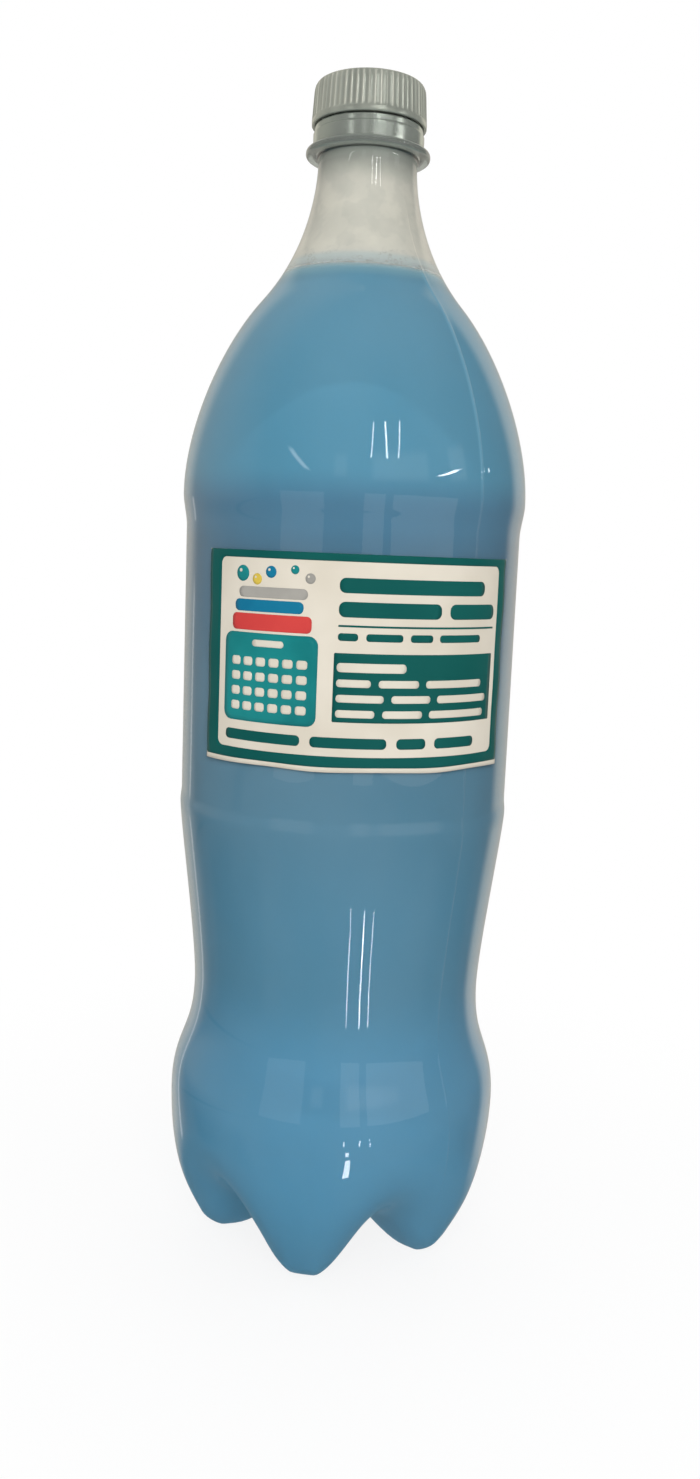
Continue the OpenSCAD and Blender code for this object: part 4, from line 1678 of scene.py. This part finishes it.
    def world(self, groups: Groups) -> None:
        """Sets the world: white behind the object, a grey room in reflections, even fill.

        The azimuth of a direction is atan2(x, -y) less the camera's, and its elevation is
        asin(z). Reflections see a dim room with a pale wall behind the bottle, haze on its
        left, the table below, and the glows.

        Args:
            groups: The shared effects.
        """
        world = bpy.data.worlds.new("studio")
        bpy.context.scene.world = world
        world.use_nodes = True
        tree = world.node_tree
        board = Board(tree)
        path = board.add("ShaderNodeLightPath")
        way = board.add("ShaderNodeTexCoord").outputs["Generated"]
        split = board.add("ShaderNodeSeparateXYZ", None, {0: way})
        back = board.math("MULTIPLY", split.outputs["Y"], -1.0)
        turn = board.math("DEGREES", board.math("ARCTAN2", split.outputs["X"], back))
        turn = board.math("SUBTRACT", turn, self.turn)
        rise = board.math("DEGREES", board.math("ARCSINE", split.outputs["Z"]))
        left = board.math("MULTIPLY", turn, -1.0)
        off = board.math("ABSOLUTE", turn)
        wall = board.math("ADD", board.spread(turn, *self.wall_right),
                          board.spread(left, *self.wall_left))
        behind = board.spread(off, *self.wall_fade, self.wall_share, self.wall_behind)
        wall = board.math("MULTIPLY", wall, behind)
        haze = board.math("MULTIPLY", board.spread(left, *self.haze_turn, 0, self.haze_share),
                          board.spread(rise, *self.haze_rise))
        room = board.spread(rise, *self.ceiling_rise, *self.room_grey)
        colour = board.mix(board.math("MAXIMUM", wall, haze), room, rgba(self.wall_colour))
        colour = board.mix(board.spread(rise, *self.table_rise), rgba(self.table_colour), colour)
        light = 0.0
        for glow in self.glows:
            patch = board.group(groups.glow, {
                "Azimuth": turn, "Elevation": rise, "Middle azimuth": glow.azimuth,
                "Middle elevation": glow.elevation, "Half width": glow.width / 2,
                "Half height": glow.height / 2, "Soft": glow.soft, "Fade": glow.fade or glow.soft,
                "Lean": glow.lean, "Brightness": glow.brightness})
            light = board.math("ADD", light, patch.outputs["Light"])
        colour = board.add("ShaderNodeMix", {"data_type": "RGBA", "blend_type": "ADD"},
                           {0: 1.0, 6: colour, 7: light}).outputs[2]
        fill = board.spread(split.outputs["Z"], 0, 1, *self.fill)
        colour = board.mix(path.outputs["Is Glossy Ray"], fill, colour)
        colour = board.mix(self.seen_as_backdrop(board), colour, (1, 1, 1, 1))
        tree.links.new(colour, tree.nodes["Background"].inputs["Color"])

    def camera(self) -> None:
        """Sets the camera where the photograph was taken from.

        It stands at a turn, a distance and a height, and looks down by the pitch. The yaw
        moves the bottle a little to the left, and the roll leans it to the right.
        """
        data = bpy.data.cameras.new("camera")
        data.sensor_fit = "VERTICAL"
        data.sensor_height = self.sensor
        data.lens = self.focal_px / self.frame_px * self.sensor
        camera = bpy.data.objects.new("camera", data)
        a = math.radians(self.turn)
        spot = Vector((self.distance * math.sin(a), -self.distance * math.cos(a), self.height))
        dip, roll = math.radians(self.pitch), math.radians(self.roll)
        heading = a - math.radians(self.yaw)
        ahead = Vector((-math.sin(heading) * math.cos(dip), math.cos(heading) * math.cos(dip),
                        -math.sin(dip)))
        right = ahead.cross(Vector((0, 0, 1))).normalized()
        up = right.cross(ahead)
        side = right * math.cos(roll) + up * math.sin(roll)
        top = up * math.cos(roll) - right * math.sin(roll)
        turned = Matrix((side, top, -ahead)).transposed().to_4x4()
        camera.matrix_world = Matrix.Translation(spot) @ turned
        bpy.context.scene.collection.objects.link(camera)
        bpy.context.scene.camera = camera

    def build(self, groups: Groups) -> None:
        """Adds everything round the object.

        Args:
            groups: The shared effects.
        """
        self.camera()
        self.world(groups)
        self.floor()
        for strip in self.strips:
            self.table_strip(strip)
        for lamp in self.lamps:
            self.light(lamp)
        bpy.context.scene.view_settings.view_transform = "Standard"


# Finishes

# The neck finish's grey-green tint and part opacity are partly its milky plastic and partly a painted
# reflection of its grey surroundings.
NECK_PLASTIC = ClearPlastic("neck_finish_plastic", tint=linear(176, 183, 175), transmission=0.75,
                            rough=(0.05, 0.1), wave=90, relief=0.00002)
# The crest attribute paints pale highlights on the flutes' crests.
CAP = Finish("cap_plastic", linear(146, 151, 141), linear(173, 177, 165), cloud=170,
             stretch=(1, 1, 0.15), rough=(0.16, 0.26), metallic=0.5, grain=2600, relief=0.00005,
             highlight_attribute="crest", highlight_colour=linear(236, 236, 222), highlight_share=0.9)
BAND = Finish("band_plastic", linear(160, 168, 160), linear(182, 188, 178), stretch=(1, 1, 0.2),
              rough=(0.14, 0.22), metallic=0.75, relief=0.00003)
LINER = Finish("liner_foam", linear(222, 222, 214), linear(232, 232, 226), rough=(0.6, 0.7))
PAPER = Finish("label_paper", linear(198, 190, 174), linear(211, 204, 190), cloud=34, edge=0.2,
               rough=(0.36, 0.48), specular=0.3, wave=60, grain=3500, relief=0.00003)
BUBBLE = Finish("bubble_film", linear(205, 210, 205), linear(220, 224, 220), rough=(0.1, 0.2),
                relief=0.0)


def printed(name: str, low: Colour, high: Colour, cloud: float) -> Finish:
    """Describes a printed ink, faintly shiny as the paper is."""
    return Finish(name, low, high, cloud=cloud, rough=(0.36, 0.46), specular=0.16, relief=0.00002)


INKS = {
    Ink.GREEN: printed("green_ink", linear(0, 76, 72), linear(6, 84, 79), 30),
    Ink.TEAL: printed("teal_ink", linear(6, 104, 106), linear(22, 130, 130), 45),
    Ink.RED: printed("red_ink", linear(186, 54, 54), linear(198, 66, 62), 60),
    Ink.BLUE: printed("blue_ink", linear(4, 98, 132), linear(14, 112, 144), 60),
    Ink.GREY: printed("grey_ink", linear(142, 140, 134), linear(162, 159, 152), 70),
    Ink.YELLOW: printed("yellow_ink", linear(196, 170, 66), linear(208, 183, 80), 70),
    Ink.CREAM: printed("cream_ink", linear(200, 193, 178), linear(209, 203, 189), 60),
}


def main() -> None:
    """Builds the pieces in order and the studio round them."""
    logging.basicConfig(level=logging.INFO, format="%(name)s: %(message)s")
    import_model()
    groups = Groups()
    Studio().build(groups)

    shape = BottleShape()
    shell = shape.build()
    place(shell, Body.BOTTLE, Slot.CLEAR, ClearPlastic("clear_blown_plastic").build(groups), "bottle")
    dress_above(shell, NECK_PLASTIC.build(groups), shape.ring_foot)

    filling = Filling(shape)
    place(filling.liquid(), Body.BOTTLE, Slot.DETERGENT, Liquid().build(groups), "detergent")
    place(filling.film(), Body.BOTTLE, Slot.DETERGENT, Mist().build(groups))
    place(filling.bubbles(), Body.BOTTLE, Slot.DETERGENT, BUBBLE.build(groups))

    closure = Closure(shape)
    place(closure.cap(), Body.CAP, Slot.CAP, CAP.build(groups), "cap")
    place(closure.liner(), Body.LINER, Slot.LINER, LINER.build(groups), "cap_liner")
    place(closure.band(), Body.BOTTLE, Slot.BAND, BAND.build(groups), "tamper_band")

    label = Label(shape)
    place(label.sheet(), Body.BOTTLE, Slot.PAPER, PAPER.build(groups), "label")
    for ink, piece in label.inks().items():
        node, slot = ink.value
        place(piece, Body.BOTTLE, slot, INKS[ink].build(groups), node)


if __name__ == "__main__":
    main()
